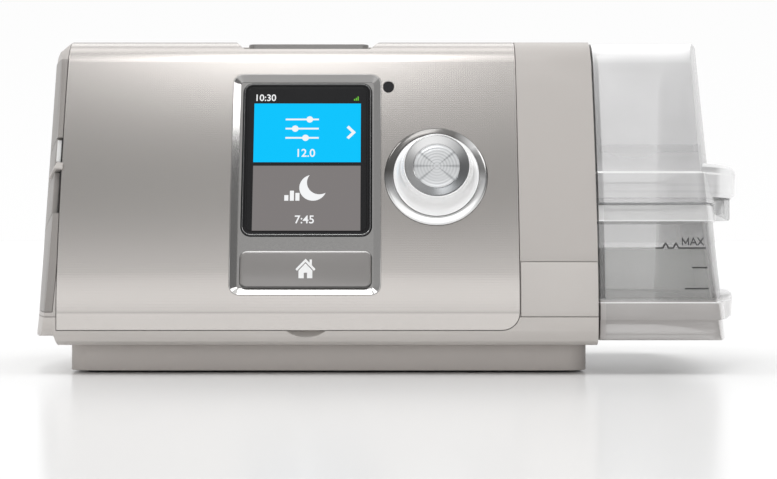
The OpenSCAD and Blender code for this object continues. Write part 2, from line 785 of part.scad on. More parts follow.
module cord_retention_clip() {
    color([0.3, 0.3, 0.32]) difference() {
        union() {
            for (s = [-1, 1]) {
                translate([inlet_x + s * (inlet_w / 2 + 1.3) - 0.9, clip_pivot_y, inlet_z]) {
                    rotate([0, 90, 0]) cylinder(r = 2.2, h = 1.8, $fn = 32);
                    translate([0, -1.2, -clip_arm]) cube([1.8, 2.4, clip_arm]);
                }
            }
            box([inlet_x - inlet_w / 2 - 2.2, clip_pivot_y - 1.2, inlet_z - clip_arm],
                [inlet_x + inlet_w / 2 + 2.2, clip_pivot_y + 1.2, inlet_z - clip_arm + 2.4]);
        }
        translate([inlet_x - inlet_w, clip_pivot_y, inlet_z]) rotate([0, 90, 0])
            cylinder(r = 1.25, h = 2 * inlet_w, $fn = 32);
    }
}

// Air path: filter, sound box, blower, ducts
box_t = 2;
muffler_side = 19.6;
muffler_x = filter_x - muffler_side;
muffler_w = 41;
muffler_d = 51;
muffler_y = y1 - muffler_d;
muffler_z = board_z + 0.3;
muffler_h = 72;
foam_d = 22;
foam_gap = 0.1;
blower_in = 99.5;
blower_x = x0 + blower_in;
blower_back = 37;
blower_y = y1 - blower_back;
blower_r = 30;
rotor_r = 1.5;
mount_h = 7.4;
blower_z = z_floor + mount_h;
lower_h = 18;
upper_h = 14;
scroll_t = 2;
snorkel_z = blower_z + lower_h + upper_h;
snorkel_h = 16;
snorkel_w = 28;
eye_r = 11;
spigot_r = 7;
duct_t = 1.6;
spigot_z = blower_z + lower_h + upper_h / 2 + 0.5;
spigot_y = blower_y - blower_r + spigot_r - 1;
port_in_at = 57;
port_out_back = 30.8;
port_in_y = y0 + port_in_at;
port_out_y = y1 - port_out_back;
duct_side = 13;
duct_x = bay_x - duct_side;
module filter_pad() {
    color([0.92, 0.92, 0.9]) box([pad_left + run, y1 - pad_deep + 2 * run, filter_z - pad_half + run],
        [pad_right - run, y1 - cover_t - 3 * run, filter_z + pad_half - run]);
}
module muffler_box() {
    color([0.35, 0.35, 0.37]) difference() {
        box([muffler_x, muffler_y, muffler_z],
            [muffler_x + muffler_w, y1 - wall - 0.1, muffler_z + muffler_h]);
        box([muffler_x + box_t, muffler_y + box_t, muffler_z + box_t],
            [muffler_x + muffler_w - box_t, y1 - wall - box_t, muffler_z + muffler_h - box_t]);
        box([pad_left, y1 - pad_deep, filter_z - pad_half], [pad_right, y1, filter_z + pad_half]);
        box([muffler_x + muffler_w - box_t - 1, blower_y - snorkel_w / 2 + 2, snorkel_z + 2],
            [muffler_x + muffler_w + 1, blower_y + snorkel_w / 2 - 2, snorkel_z + snorkel_h - 2]);
    }
}
module muffler_foam() {
    low = box_t + foam_gap;
    color([0.2, 0.2, 0.22]) box([muffler_x + low, muffler_y + low, muffler_z + low],
        [muffler_x + muffler_w - low, muffler_y + box_t + foam_d, snorkel_z - 2 * box_t]);
}
module at_blower() {
    translate([blower_x, blower_y, blower_z]) children();
}
mount_out = 1.5;
mount_in = 4;
module blower_mount() {
    color([0.25, 0.25, 0.27]) translate([blower_x, blower_y, z_floor + 0.05])
        tube(blower_r + mount_out, blower_r - mount_in, mount_h - 0.1);
}
// The hub in the lower housing carries the bearings inside and the stator outside
hub_low = 4.5;
hub_r = 5.5;
bearing_r = 4;
bearing_h = 3;
bearing_at = [hub_low + 0.5, lower_h - bearing_h - 0.2];
stator_r = 12.2;
stator_h = 9;
module blower_lower_housing() {
    color([0.3, 0.32, 0.34]) at_blower() difference() {
        union() {
            tube(blower_r, blower_r - scroll_t, lower_h - 1);
            translate([0, 0, lower_h - scroll_t]) cylinder(r = blower_r, h = scroll_t, $fn = 64);
            translate([0, 0, hub_low]) cylinder(r = hub_r, h = lower_h - hub_low - 1, $fn = 48);
        }
        translate([0, 0, hub_low - 1]) cylinder(r = bearing_r + held, h = lower_h, $fn = 48);
    }
}
module blower_stator() {
    color([0.72, 0.45, 0.2]) at_blower() translate([0, 0, bearing_at[0]])
        tube(stator_r, hub_r + 0.05, stator_h);
}
module blower_bearings() {
    color("silver") at_blower() for (z = bearing_at) {
        translate([0, 0, z]) tube(bearing_r, rotor_r + 0.03, bearing_h);
    }
}
rotor_low = 1.5;
wheel_z = lower_h + 1;
wheel_h = 8.5;
wheel_r = 24;
plate_t = 1.2;
wheel_hub_r = 5.5;
blade_h = 7;
blade_t = 1;
blade_count = 12;
blade_lean = 12;
cup_low = 2;
cup_h = 12;
cup_t = 2;
cup_r = 15;
module rotor_shaft() {
    color("silver") at_blower() translate([0, 0, rotor_low])
        cylinder(r = rotor_r, h = wheel_z + wheel_h - rotor_low + 1, $fn = 48);
}
module rotor_magnet() {
    color([0.3, 0.3, 0.3]) at_blower() difference() {
        translate([0, 0, cup_low]) cylinder(r = cup_r, h = cup_h, $fn = 64);
        translate([0, 0, cup_low + cup_t]) cylinder(r = stator_r + 0.5, h = cup_h, $fn = 64);
        translate([0, 0, cup_low - 1]) cylinder(r = rotor_r + held / 2, h = cup_h, $fn = 48);
    }
}
module impeller() {
    color([0.9, 0.9, 0.88]) at_blower() translate([0, 0, wheel_z]) difference() {
        union() {
            cylinder(r = wheel_r, h = plate_t, $fn = 64);
            cylinder(r = wheel_hub_r, h = wheel_h, $fn = 48);
            for (i = [1:blade_count]) {
                rotate([0, 0, 360 * i / blade_count]) translate([wheel_hub_r - 0.5, -blade_t / 2, 0])
                    rotate([0, 0, blade_lean]) cube([wheel_r - wheel_hub_r - 0.5, blade_t, blade_h]);
            }
        }
        translate([0, 0, -1]) cylinder(r = rotor_r + held / 2, h = wheel_h + 2, $fn = 48);
    }
}
module blower_upper_housing() {
    color([0.4, 0.42, 0.44]) difference() {
        union() {
            at_blower() translate([0, 0, lower_h + 0.05])
                cylinder(r = blower_r, h = upper_h - 0.05, $fn = 64);
            box([muffler_x + muffler_w + 0.1, blower_y - snorkel_w / 2, snorkel_z],
                [blower_x + snorkel_w / 2, blower_y + snorkel_w / 2, snorkel_z + snorkel_h]);
            translate([blower_x, spigot_y, spigot_z]) rotate([0, 90, 0])
                cylinder(r = spigot_r, h = duct_x - spigot_r - 1 - blower_x, $fn = 48);
        }
        at_blower() translate([0, 0, lower_h - 1])
            cylinder(r = blower_r - scroll_t, h = upper_h - 1, $fn = 64);
        at_blower() translate([0, 0, lower_h + upper_h - scroll_t - 1])
            cylinder(r = eye_r, h = scroll_t + 1 + box_t, $fn = 48);
        box([muffler_x + muffler_w - 1, blower_y - snorkel_w / 2 + box_t, snorkel_z + box_t],
            [blower_x + snorkel_w / 2 - box_t, blower_y + snorkel_w / 2 - box_t,
                snorkel_z + snorkel_h - box_t]);
        translate([blower_x + 8, spigot_y, spigot_z]) rotate([0, 90, 0])
            cylinder(r = spigot_r - duct_t, h = duct_x - blower_x, $fn = 48);
    }
}
// A round duct along a list of corners, with ball corners
module duct(path, r) {
    for (i = [0:len(path) - 2]) {
        d = path[i + 1] - path[i];
        translate(path[i]) rotate([0, acos(d.z / norm(d)), atan2(d.y, d.x)])
            cylinder(r = r, h = norm(d), $fn = 48);
    }
    for (i = [1:len(path) - 2]) {
        translate(path[i]) sphere(r = r, $fn = 48);
    }
}
duct_end_x = bay_x - liner_t - 0.1;
module blower_duct() {
    path = [[duct_x - spigot_r - 0.9, spigot_y, spigot_z], [duct_x, spigot_y, spigot_z],
        [duct_x, spigot_y, outlet_z], [duct_x, port_in_y, outlet_z], [duct_end_x, port_in_y, outlet_z]];
    color([0.5, 0.5, 0.52]) difference() {
        union() {
            duct(path, spigot_r);
            translate([duct_end_x - 2, port_in_y, outlet_z]) rotate([0, 90, 0])
                cylinder(d = port_d + 4, h = 2, $fn = 48);
        }
        duct([path[0] - [1, 0, 0], path[1], path[2], path[3], path[4] + [1, 0, 0]], spigot_r - duct_t);
    }
}
outlet_in_y = y1 - 12;
module outlet_duct() {
    path = [[duct_end_x, port_out_y, outlet_z], [outlet_x, port_out_y, outlet_z],
        [outlet_x, outlet_in_y - 0.05, outlet_z]];
    color([0.5, 0.5, 0.52]) difference() {
        duct(path, outlet_d / 2);
        duct([path[0] + [1, 0, 0], path[1], path[2] + [0, 1, 0]], port_d / 2);
    }
}
module outlet_connector() {
    color([0.85, 0.84, 0.82]) translate([outlet_x, outlet_in_y, outlet_z]) rotate([-90, 0, 0]) difference() {
        union() {
            cylinder(d = outlet_d - 0.6, h = y1 + 1 - outlet_in_y, $fn = 64);
            translate([0, 0, y1 - outlet_in_y]) cylinder(d = outlet_d, h = outlet_reach, $fn = 64);
            translate([0, 0, y1 - wall - 0.1 - outlet_in_y - 2]) cylinder(d = outlet_d + 6, h = 2, $fn = 64);
        }
        translate([0, 0, -1]) cylinder(d = port_d, h = 60, $fn = 64);
    }
}

// The humidifier bay and its heater
// The heater lies in the floor of the bay, clear of its ends
heater_side = 10;
heater_front = 18;
heater_back = 13.8;
heater_x = bay_x + heater_side;
heater_w = 27;
heater_y = y0 + heater_front;
heater_d = body_d - heater_front - heater_back;
heater_rise = 4.4;
heater_top = z_floor + heater_rise;
heater_t = 1.5;
spring_r = 2.6;
spring_at = [for (x = [5, heater_w - 5], y = [8, heater_d - 8]) [x, y]];
module bay_liner() {
    color([0.35, 0.35, 0.37]) difference() {
        slab_x(bay_x - liner_t, x1 - wall - 0.3, side_view(wall + liner_gap));
        slab_x(bay_x, x1, side_view(liner_in));
        for (y = [port_in_y, port_out_y]) {
            translate([bay_x - 5, y, outlet_z]) rotate([0, 90, 0])
                cylinder(d = port_d + 2 * fit, h = 9, $fn = 48);
        }
        for (p = spring_at) {
            translate([heater_x + p.x, heater_y + p.y, z0]) cylinder(r = spring_r + 0.8, h = 9, $fn = 32);
        }
    }
}
module bay_port_seals() {
    color([0.25, 0.25, 0.27]) for (y = [port_in_y, port_out_y]) {
        translate([bay_x + 0.05, y, outlet_z]) rotate([0, 90, 0]) rotate_extrude($fn = 64)
            translate([port_d / 2, 0]) polygon([[fit, 0], [3, 0], [3, 1.2], [1.4, 1.8], [3, 2.4], [3, 3.6],
                [1.4, seal_reach], [fit, seal_reach]]);
    }
}
module heater_plate() {
    color("silver") translate([heater_x, heater_y, heater_top - heater_t])
        cube([heater_w, heater_d, heater_t]);
}
spring_turns = 2.5;
spring_wire = 0.35;
module spring(r, h) {
    n = round(spring_turns * 14);
    rings = [for (i = [0:n]) let (a = 360 * spring_turns * i / n) [for (k = [0:5])
        let (q = r + spring_wire * cos(60 * k), z = spring_wire * (1 + sin(60 * k)))
            [q * cos(a), q * sin(a), z + (h - 2 * spring_wire) * i / n]]];
    polyhedron(points = [for (ring = rings) each ring],
        faces = concat([[5, 4, 3, 2, 1, 0]], [[for (k = [0:5]) 6 * n + k]],
            [for (i = [0:n - 1], k = [0:5])
                [6 * i + k, 6 * i + (k + 1) % 6, 6 * (i + 1) + (k + 1) % 6, 6 * (i + 1) + k]]));
}
module heater_springs() {
    color("silver") for (p = spring_at) {
        translate([heater_x + p.x, heater_y + p.y, z_floor + 0.02])
            spring(spring_r, heater_rise - heater_t - 0.04);
    }
}

// The water tub
tub_floor = heater_top + 0.1;
chamber_up = 15.7;
chamber_z = z0 + chamber_up;
skirt_z = z0 + 0.3;
out_t = 1.6;
bead_r = 92;
lid_top_in = zt - tub_inset;
part_gap = 0.2;
latch_w = 30;
latch_t = 2;
function tub_side_x(z) = tub_right - (z - z0) * tan(tub_lean);
function bulge_at(z) = y_bulge + (z - z0) * tan(back_lean);
// The tub inside the bay: the case outline moved inwards by t
module tub_inner(t, za, zb, past = 0.5) {
    intersection() {
        slab_x(tub_x + t, tub_out_x + past, side_view(tub_inset + t));
        box([tub_x, y0, za], [tub_out_x + past, y1, zb]);
    }
}
// The tub outside the bay, moved inwards by front on the outline and by side on the bulged end
module tub_outer(front, side, za, zb, step = 0) {
    intersection() {
        slab_x(tub_out_x + step, x_end + 9, side_view(front));
        box([tub_out_x, y0 - 5, za], [x_end + 9, y1 + 5, zb]);
        right_barrel(side);
    }
}
// A level bead along the bulged end: its profile is given from the wall outwards
module end_bead(z, front, pts) {
    intersection() {
        translate([tub_side_x(z) - bead_r, bulge_at(z), 0]) rotate_extrude($fn = 200)
            polygon([for (p = pts) [bead_r + p.x, p.y]]);
        slab_x(x1 + 25, x_end + 9, side_view(front));
    }
}
// Profile of a lip that stands out of the wall, with rounded outer edges
function lip_view(out, za, zb, r) = concat(
    [[-4, za], [out - r, za]],
    [for (t = [-60:30:60]) [out - r + r * cos(t), (t < 0 ? za + r : zb - r) + r * sin(t)]],
    [[out - r, zb], [-4, zb]]);
// The grip of the lid sits over the parting, and stands out level along the bulged end
grip_z = [tub_part_z + 2.2, tub_part_z + 14.2];
grip_mid = tub_part_z + 8.8;
grip_out = x_end - tub_side_x(grip_mid);
module tub_base() {
    color([0.85, 0.9, 0.92, 0.4]) difference() {
        union() {
            tub_inner(0, tub_floor + 1.65, tub_part_z - part_gap - 0.7);
            tub_outer(out_t, 0, skirt_z, tub_part_z - part_gap - 0.7);
            tub_outer(out_t - 0.8, -0.8, tub_part_z - 6.2, tub_part_z - part_gap);
            tub_outer(out_t - 1, -1, z0 + 8.6, z0 + 14.3);
            end_bead(z0 + 11, 5, lip_view(5.4, z0 + 7.4, z0 + 17.6, 2.4));
            // Runners that carry the tub on the floor of the bay
            for (y = [heater_y - 6, heater_y + heater_d + 1]) {
                box([tub_x + 1, y, z_floor + 2.2], [tub_out_x + 2, y + 4, tub_floor + 2]);
            }
            // Hinge knuckles of the base
            for (y = knuckle_at) {
                knuckle(y, 0);
            }
        }
        // Water chamber, deeper inside the bay than outside it
        tub_inner(tub_wall, tub_floor + 3.4, zt, 0);
        tub_inner(tub_wall, chamber_z, zt, tub_wall + 1);
        tub_outer(out_t + tub_wall, tub_wall, chamber_z, zt, tub_wall);
        // Hollow skirt under the outer chamber
        tub_outer(out_t + tub_wall, tub_wall, z0 - 5, chamber_z - tub_wall, tub_wall);
        intersection() {
            box([tub_out_x + tub_wall, y0 + 9, z0 - 5], [x_end, y1 - 9, z0 + 6]);
            right_barrel(tub_wall + 1);
        }
        // Seat of the lid seal
        tub_outer(out_t + 0.1, 0.1, tub_part_z - part_gap - 0.7, zt);
        // Opening over the heat plate
        box([heater_x + 2.5, heater_y + 3, tub_floor],
            [heater_x + heater_w - 2.5, heater_y + heater_d - 3, zt]);
        hinge_bores();
    }
}
// Two hinges join the halves of the tub: s is 0 for the knuckle of the base and 1 for that of the lid
knuckle_at = [y0 + 34, y1 - 46];
knuckle_w = 6;
hinge_r = 1.7;
hinge_pin_r = 0.8;
hinge_x = tub_x - 1.8;
leaf_h = 5;
leaf_gap = 0.9;
module knuckle(y, s) {
    y_at = y + s * (knuckle_w + fit);
    translate([hinge_x, y_at, tub_part_z]) rotate([-90, 0, 0]) cylinder(r = hinge_r, h = knuckle_w, $fn = 32);
    if (s == 0) {
        box([hinge_x, y_at, tub_part_z - leaf_h], [tub_x + 1, y_at + knuckle_w, tub_part_z - leaf_gap]);
    } else {
        box([hinge_x, y_at, tub_part_z + leaf_gap], [tub_x + 1, y_at + knuckle_w, tub_part_z + leaf_h]);
    }
}
module hinge_bores() {
    for (y = knuckle_at) {
        translate([hinge_x, y - 1, tub_part_z]) rotate([-90, 0, 0])
            cylinder(r = hinge_pin_r + 0.03, h = 2 * knuckle_w + 3, $fn = 24);
    }
}
module tub_hinge_pins() {
    color("silver") for (y = knuckle_at) {
        translate([hinge_x, y, tub_part_z]) rotate([-90, 0, 0])
            cylinder(r = hinge_pin_r, h = 2 * knuckle_w + fit, $fn = 24);
    }
}
module tub_lid() {
    color([0.9, 0.93, 0.95, 0.4]) difference() {
        union() {
            tub_inner(0, tub_part_z + part_gap, lid_top_in + 1);
            tub_outer(0.6, 0, tub_part_z + part_gap, zt + 1);
            tub_outer(-0.9, -1.2, tub_part_z + part_gap, grip_mid + 2);
            difference() {
                end_bead(grip_mid, 3, lip_view(grip_out, grip_z[0], grip_z[1], 2.8));
                end_bead(grip_mid, 5, [[2, z0], [grip_out - tub_wall, z0],
                    [grip_out - tub_wall, grip_z[1] - tub_wall], [2, grip_z[1] - tub_wall]]);
            }
            for (y = knuckle_at) {
                knuckle(y, 1);
            }
        }
        tub_inner(tub_wall, z0, zt, tub_wall + 1);
        tub_outer(0.6 + tub_wall, tub_wall, z0, zt, tub_wall);
        for (y = [port_in_y, port_out_y]) {
            translate([tub_x - 5, y, outlet_z]) rotate([0, 90, 0]) cylinder(d = port_d, h = 9, $fn = 48);
        }
        hinge_bores();
    }
}
module tub_lid_seal() {
    color([0.6, 0.62, 0.63]) difference() {
        union() {
            tub_inner(0.2, tub_part_z - part_gap - 0.65, tub_part_z + part_gap - 0.05);
            tub_outer(out_t + 0.2, 0.2, tub_part_z - part_gap - 0.65, tub_part_z + part_gap - 0.05);
        }
        tub_inner(tub_wall - 0.1, z0, zt, tub_wall + 1);
        tub_outer(out_t + tub_wall - 0.1, tub_wall - 0.1, z0, zt, tub_wall);
    }
}
module tub_heat_plate() {
    color("silver") box([heater_x - 1, heater_y - 1.5, tub_floor], [heater_x + heater_w + 1,
        heater_y + heater_d + 0.5, tub_floor + 1]);
}
module tub_plate_seal() {
    color([0.3, 0.3, 0.3]) difference() {
        box([heater_x - 0.5, heater_y - 1, tub_floor + 1], [heater_x + heater_w + 0.5,
            heater_y + heater_d, tub_floor + 1.6]);
        box([heater_x + 2, heater_y + 2, z0], [heater_x + heater_w - 2, heater_y + heater_d - 3, zt]);
    }
}
module tub_lid_latch() {
    low = tub_part_z - 5.5;
    top = grip_z[1] - tub_wall;
    hook_out = grip_out - tub_wall - fit;
    color([0.85, 0.9, 0.92, 0.4]) intersection() {
        end_bead(grip_mid, 3, [[4.2, low + 2.2], [hook_out - 0.4, low], [hook_out, low + 0.6],
            [hook_out, top], [hook_out - latch_t, top], [hook_out - latch_t, low + 2.4], [4.2, low + 3.6]]);
        box([x1, bulge_at(grip_mid) - latch_w / 2, z0], [x_end, bulge_at(grip_mid) + latch_w / 2, zt]);
    }
}

// Plinth, feet and screws
plinth_in = 9;
plinth_low = 0.8;
foot_r = 6;
foot_t = 1.6;
plinth_x = [x0 + 15.8, x1 - 2.3];
plinth_y = [y0 + 13, y1 - plinth_in];
foot_at = [for (x = [plinth_x[0] + 11, plinth_x[1] - 11], y = [plinth_y[0] + 11, plinth_y[1] - 11]) [x, y]];
module plinth() {
    w = plinth_x[1] - plinth_x[0];
    d = plinth_y[1] - plinth_y[0];
    color([0.55, 0.53, 0.51]) difference() {
        union() {
            difference() {
                translate([(plinth_x[0] + plinth_x[1]) / 2, (plinth_y[0] + plinth_y[1]) / 2, plinth_low])
                    rounded_plate(w, d, z0 - plinth_low, 8);
                translate([(plinth_x[0] + plinth_x[1]) / 2, (plinth_y[0] + plinth_y[1]) / 2, -1])
                    rounded_plate(w - 5, d - 5, z0 - 1.2, 6);
            }
            for (p = post_at) {
                translate([p.x, p.y, plinth_low]) cylinder(r = 5.5, h = z0 - plinth_low, $fn = 32);
            }
            for (p = foot_at) {
                translate([p.x, p.y, plinth_low])
                    cylinder(r = foot_r + 1.5, h = z0 - plinth_low - 1, $fn = 48);
            }
        }
        for (p = post_at) {
            translate([p.x, p.y, -1]) cylinder(r = screw_r + held, h = 20, $fn = 24);
            translate([p.x, p.y, -1]) cylinder(r = screw_head_r + 0.1, h = 4, $fn = 32);
        }
        for (p = foot_at) {
            translate([p.x, p.y, -1]) cylinder(r = foot_r + 0.05, h = foot_t + 1, $fn = 48);
        }
    }
}
module rubber_feet() {
    color([0.12, 0.12, 0.12]) for (p = foot_at) {
        translate([p.x, p.y, 0]) cylinder(r = foot_r, h = foot_t - 0.02, $fn = 48);
    }
}
module case_screws() {
    color("silver") for (p = post_at) {
        translate([p.x, p.y, 2]) cylinder(r = screw_r, h = board_z - 3, $fn = 24);
        translate([p.x, p.y, 1.2]) cylinder(r = screw_head_r, h = 1.78, $fn = 32);
    }
}

plinth();
rubber_feet();
base_pan();
main_case();
front_fascia();
left_side_panel();
end_label_panel();
display_bezel();
screen_lens();
lcd_module();
light_sensor_window();
dial_surround();
ui_board();
dial_encoder();
home_switch();
home_button();
dial_knob();
dial_cap();
dial_shaft();
start_board();
start_switch();
start_button();
sd_door();
port_cover();
door_hinge_pins();
sd_socket();
sd_card();
accessory_socket();
main_board();
modem_module();
muffler_box();
muffler_foam();
filter_pad();
filter_cover();
filter_cover_pin();
blower_mount();
blower_lower_housing();
blower_upper_housing();
blower_stator();
blower_bearings();
rotor_shaft();
rotor_magnet();
impeller();
blower_duct();
outlet_duct();
outlet_connector();
power_inlet();
cord_retention_clip();
bay_liner();
bay_port_seals();
heater_plate();
heater_springs();
tub_base();
tub_heat_plate();
tub_plate_seal();
tub_lid();
tub_lid_seal();
tub_hinge_pins();
tub_lid_latch();
case_screws();
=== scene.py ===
import json
import math

import bpy
from mathutils import Matrix, Vector

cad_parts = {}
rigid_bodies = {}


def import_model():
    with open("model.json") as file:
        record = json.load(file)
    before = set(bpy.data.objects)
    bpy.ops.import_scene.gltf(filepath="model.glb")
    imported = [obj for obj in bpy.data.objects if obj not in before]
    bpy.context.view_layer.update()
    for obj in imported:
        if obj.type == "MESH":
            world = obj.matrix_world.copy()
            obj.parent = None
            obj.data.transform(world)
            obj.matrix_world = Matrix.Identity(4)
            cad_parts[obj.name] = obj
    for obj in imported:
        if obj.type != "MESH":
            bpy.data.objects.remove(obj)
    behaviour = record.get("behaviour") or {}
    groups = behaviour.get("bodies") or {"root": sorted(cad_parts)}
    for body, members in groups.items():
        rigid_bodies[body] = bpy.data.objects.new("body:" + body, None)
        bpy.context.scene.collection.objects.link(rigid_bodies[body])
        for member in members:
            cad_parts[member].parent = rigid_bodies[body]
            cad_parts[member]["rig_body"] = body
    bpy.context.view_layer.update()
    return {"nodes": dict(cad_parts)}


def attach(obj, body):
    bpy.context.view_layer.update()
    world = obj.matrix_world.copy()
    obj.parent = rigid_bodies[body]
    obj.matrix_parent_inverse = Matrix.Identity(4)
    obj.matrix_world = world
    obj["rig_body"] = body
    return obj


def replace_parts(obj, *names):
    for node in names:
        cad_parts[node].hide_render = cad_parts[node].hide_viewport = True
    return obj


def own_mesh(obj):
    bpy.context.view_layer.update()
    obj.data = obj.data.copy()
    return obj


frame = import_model()
MM = 0.001

# The studio: a level camera before the machine, its lens worked out from the photograph,
# a white room, and a pale floor with a faint gloss that mirrors the plinth.
scene = bpy.context.scene
camera_at, camera_lens, camera_sensor = (-0.0017, -0.7208, 0.0458), 89.4, 36
bpy.ops.object.camera_add(location=camera_at, rotation=(math.radians(90), 0, 0))
camera = bpy.context.object
camera.data.sensor_width = camera_sensor
camera.data.lens = camera_lens
camera.data.clip_start = 0.01
scene.camera = camera
scene.view_settings.view_transform = "Standard"
scene.view_settings.look = "None"

world = bpy.data.worlds.new("white room")
world.use_nodes = True
room = world.node_tree
heading = room.nodes.new("ShaderNodeTexCoord")
parts = room.nodes.new("ShaderNodeSeparateXYZ")
room.links.new(heading.outputs["Generated"], parts.inputs[0])


def shades(socket, stops):
    """Whites of the room that change with one part of the direction."""
    ramp = room.nodes.new("ShaderNodeValToRGB")
    for place, white in stops[2:]:
        ramp.color_ramp.elements.new(place)
    for element, (place, white) in zip(ramp.color_ramp.elements, stops):
        element.position, element.color = place, (white, white, white, 1)
    room.links.new(socket, ramp.inputs["Fac"])
    return ramp.outputs["Color"]


def blended(share, first, second):
    """Turns softly from one set of whites to another."""
    mixed = room.nodes.new("ShaderNodeMix")
    mixed.data_type = "RGBA"
    for socket, source in ((0, share), (6, first), (7, second)):
        room.links.new(source, mixed.inputs[socket])
    return mixed.outputs[2]


def halved(axis):
    """One part of the direction, brought into the range from 0 to 1."""
    half = room.nodes.new("ShaderNodeMath")
    half.operation = "MULTIPLY_ADD"
    half.inputs[1].default_value = half.inputs[2].default_value = 0.5
    room.links.new(parts.outputs[axis], half.inputs[0])
    return half.outputs[0]


height = parts.outputs["Z"]
left_wall = shades(height, ((0.10, 1.0), (0.24, 0.42), (0.6, 0.36), (0.8, 0.6)))
front_wall = shades(height, ((0.0, 1.0), (0.34, 0.95), (0.44, 0.74), (0.52, 0.46), (0.60, 0.44),
                             (0.72, 0.72), (0.85, 1.0)))
right_wall = shades(height, ((0.0, 1.0), (0.12, 0.55), (0.22, 0.22), (0.50, 0.18), (0.60, 0.42),
                             (0.8, 0.8)))
back_wall = shades(height, ((0.0, 1.0), (0.9, 0.85)))
walls = blended(shades(halved("X"), ((0.1, 0.0), (0.40, 0.55), (0.5, 1.0))), left_wall, front_wall)
walls = blended(shades(halved("Y"), ((0.5, 0.0), (0.62, 1.0))), walls, back_wall)
walls = blended(shades(halved("X"), ((0.76, 0.0), (0.86, 1.0))), walls, right_wall)
room.links.new(walls, room.nodes["Background"].inputs["Color"])
scene.world = world


def softbox(name, at, aim, size, watts):
    """A soft rectangular studio light at a point, turned towards another."""
    turn = (Vector(aim) - Vector(at)).to_track_quat("-Z", "Y").to_euler()
    bpy.ops.object.light_add(type="AREA", location=at, rotation=turn)
    lamp = bpy.context.object
    lamp.name = name
    lamp.data.shape = "RECTANGLE"
    lamp.data.size, lamp.data.size_y = size
    lamp.data.energy = watts


softbox("overhead", (-0.07, -0.34, 0.86), (0, 0, 0.05), (0.24, 0.40), 1.0)
softbox("zenith", (-0.02, 0.16, 0.95), (0, 0, 0.05), (0.7, 0.3), 0.8)
softbox("behind", (0.0, 0.60, 0.80), (0, 0, 0.05), (1.2, 0.3), 1.5)
softbox("left high", (-0.62, -0.20, 0.95), (-0.1, 0, 0.1), (0.3, 0.3), 1.6)
softbox("front low", (-0.1, -1.35, 0.31), (0, 0, 0.08), (1.6, 0.6), 2.02)
softbox("front high", (-0.10, -0.62, 0.88), (-0.03, 0, 0.08), (0.22, 0.26), 0.2)
softbox("right side", (0.69, -0.31, 0.74), (-0.02, -0.07, 0.07), (0.5, 0.26), 1.2)


class Wire:
    """One output of a finish's nodes; what is written on it adds nodes that work on it."""

    def __init__(self, finish, socket):
        self.finish, self.socket = finish, socket

    def math(self, operation, *others):
        """A Math node on this output, and on others."""
        return self.finish.node("Math", {"operation": operation}, dict(enumerate((self,) + others)))

    def between(self, low, high):
        """A share that goes from 0 to 1 as this output goes from low to high."""
        return self.finish.node("MapRange", None,
                                {"Value": self, "From Min": low, "From Max": high})

    def waves(self, pitch):
        """Even waves from -1 to 1 along this output."""
        return (self * (2 * math.pi / pitch)).math("SINE")

    def __add__(self, other):
        return self.math("ADD", other)

    def __sub__(self, other):
        return self.math("SUBTRACT", other)

    def __mul__(self, other):
        return self.math("MULTIPLY", other)

    def __rsub__(self, other):
        return self.finish.node("Math", {"operation": "SUBTRACT"}, {0: other, 1: self})

    def __lt__(self, other):
        return self.math("LESS_THAN", other)

    def __gt__(self, other):
        return self.math("GREATER_THAN", other)

    __radd__ = __add__


class Finish:
    """A material in the making: its Principled shader, and nodes that feed it."""

    def __init__(self, name, **constants):
        self.material = bpy.data.materials.new(name)
        self.material.use_nodes = True
        self.tree = self.material.node_tree
        self.shader = self.tree.nodes["Principled BSDF"]
        self.spot = self.node("TexCoord", out="Object")
        self.shade(**constants)

    def feed(self, socket, value):
        """Links an input to a wire, or sets it to a constant."""
        if isinstance(value, Wire):
            self.tree.links.new(value.socket, socket)
        elif socket.type == "RGBA" and len(value) == 3:
            socket.default_value = (*value, 1)
        else:
            socket.default_value = value

    def node(self, kind, settings=None, values=None, out=0):
        """A node with these settings and inputs; gives the wire of one output."""
        made = self.tree.nodes.new("ShaderNode" + kind)
        for key, value in (settings or {}).items():
            setattr(made, key, value)
        for key, value in (values or {}).items():
            self.feed(made.inputs[key], value)
        return Wire(self, made.outputs[out])

    def shade(self, **inputs):
        """Feeds inputs of the shader, named with _ for their spaces."""
        for key, value in inputs.items():
            self.feed(self.shader.inputs[key.replace("_", " ")], value)
        return self

    def noise(self, scale, detail=2.0, rough=0.5, spot=None):
        """Soft marks without order, from 0 to 1."""
        return self.node("TexNoise", None, {"Vector": spot or self.spot, "Scale": scale,
                                            "Detail": detail, "Roughness": rough}, out="Fac")

    def mix(self, share, low, high):
        """Colours low to high as the share goes from 0 to 1."""
        return self.node("Mix", {"data_type": "RGBA"}, {0: share, 6: low, 7: high}, out=2)

    def relief(self, height, depth, strength=1.0):
        """Bumps of a depth in metres."""
        return self.node("Bump", None, {"Height": height, "Distance": depth, "Strength": strength},
                         out="Normal")

    def part(self, axis, spot=None):
        """One part of the place on the object, or of another vector."""
        return self.node("SeparateXYZ", None, {0: spot or self.spot}, out=axis)

    def facing_up(self):
        """How far the surface faces up: 1 on top, -1 underneath."""
        return self.part("Z", self.node("TexCoord", out="Normal"))


def held(share):
    """A share kept in the range from 0 to 1."""
    return max(0.0, min(1.0, share))


def tint(colour, by):
    """The colour made lighter or darker by a share."""
    return tuple(held(c * by) for c in colour)


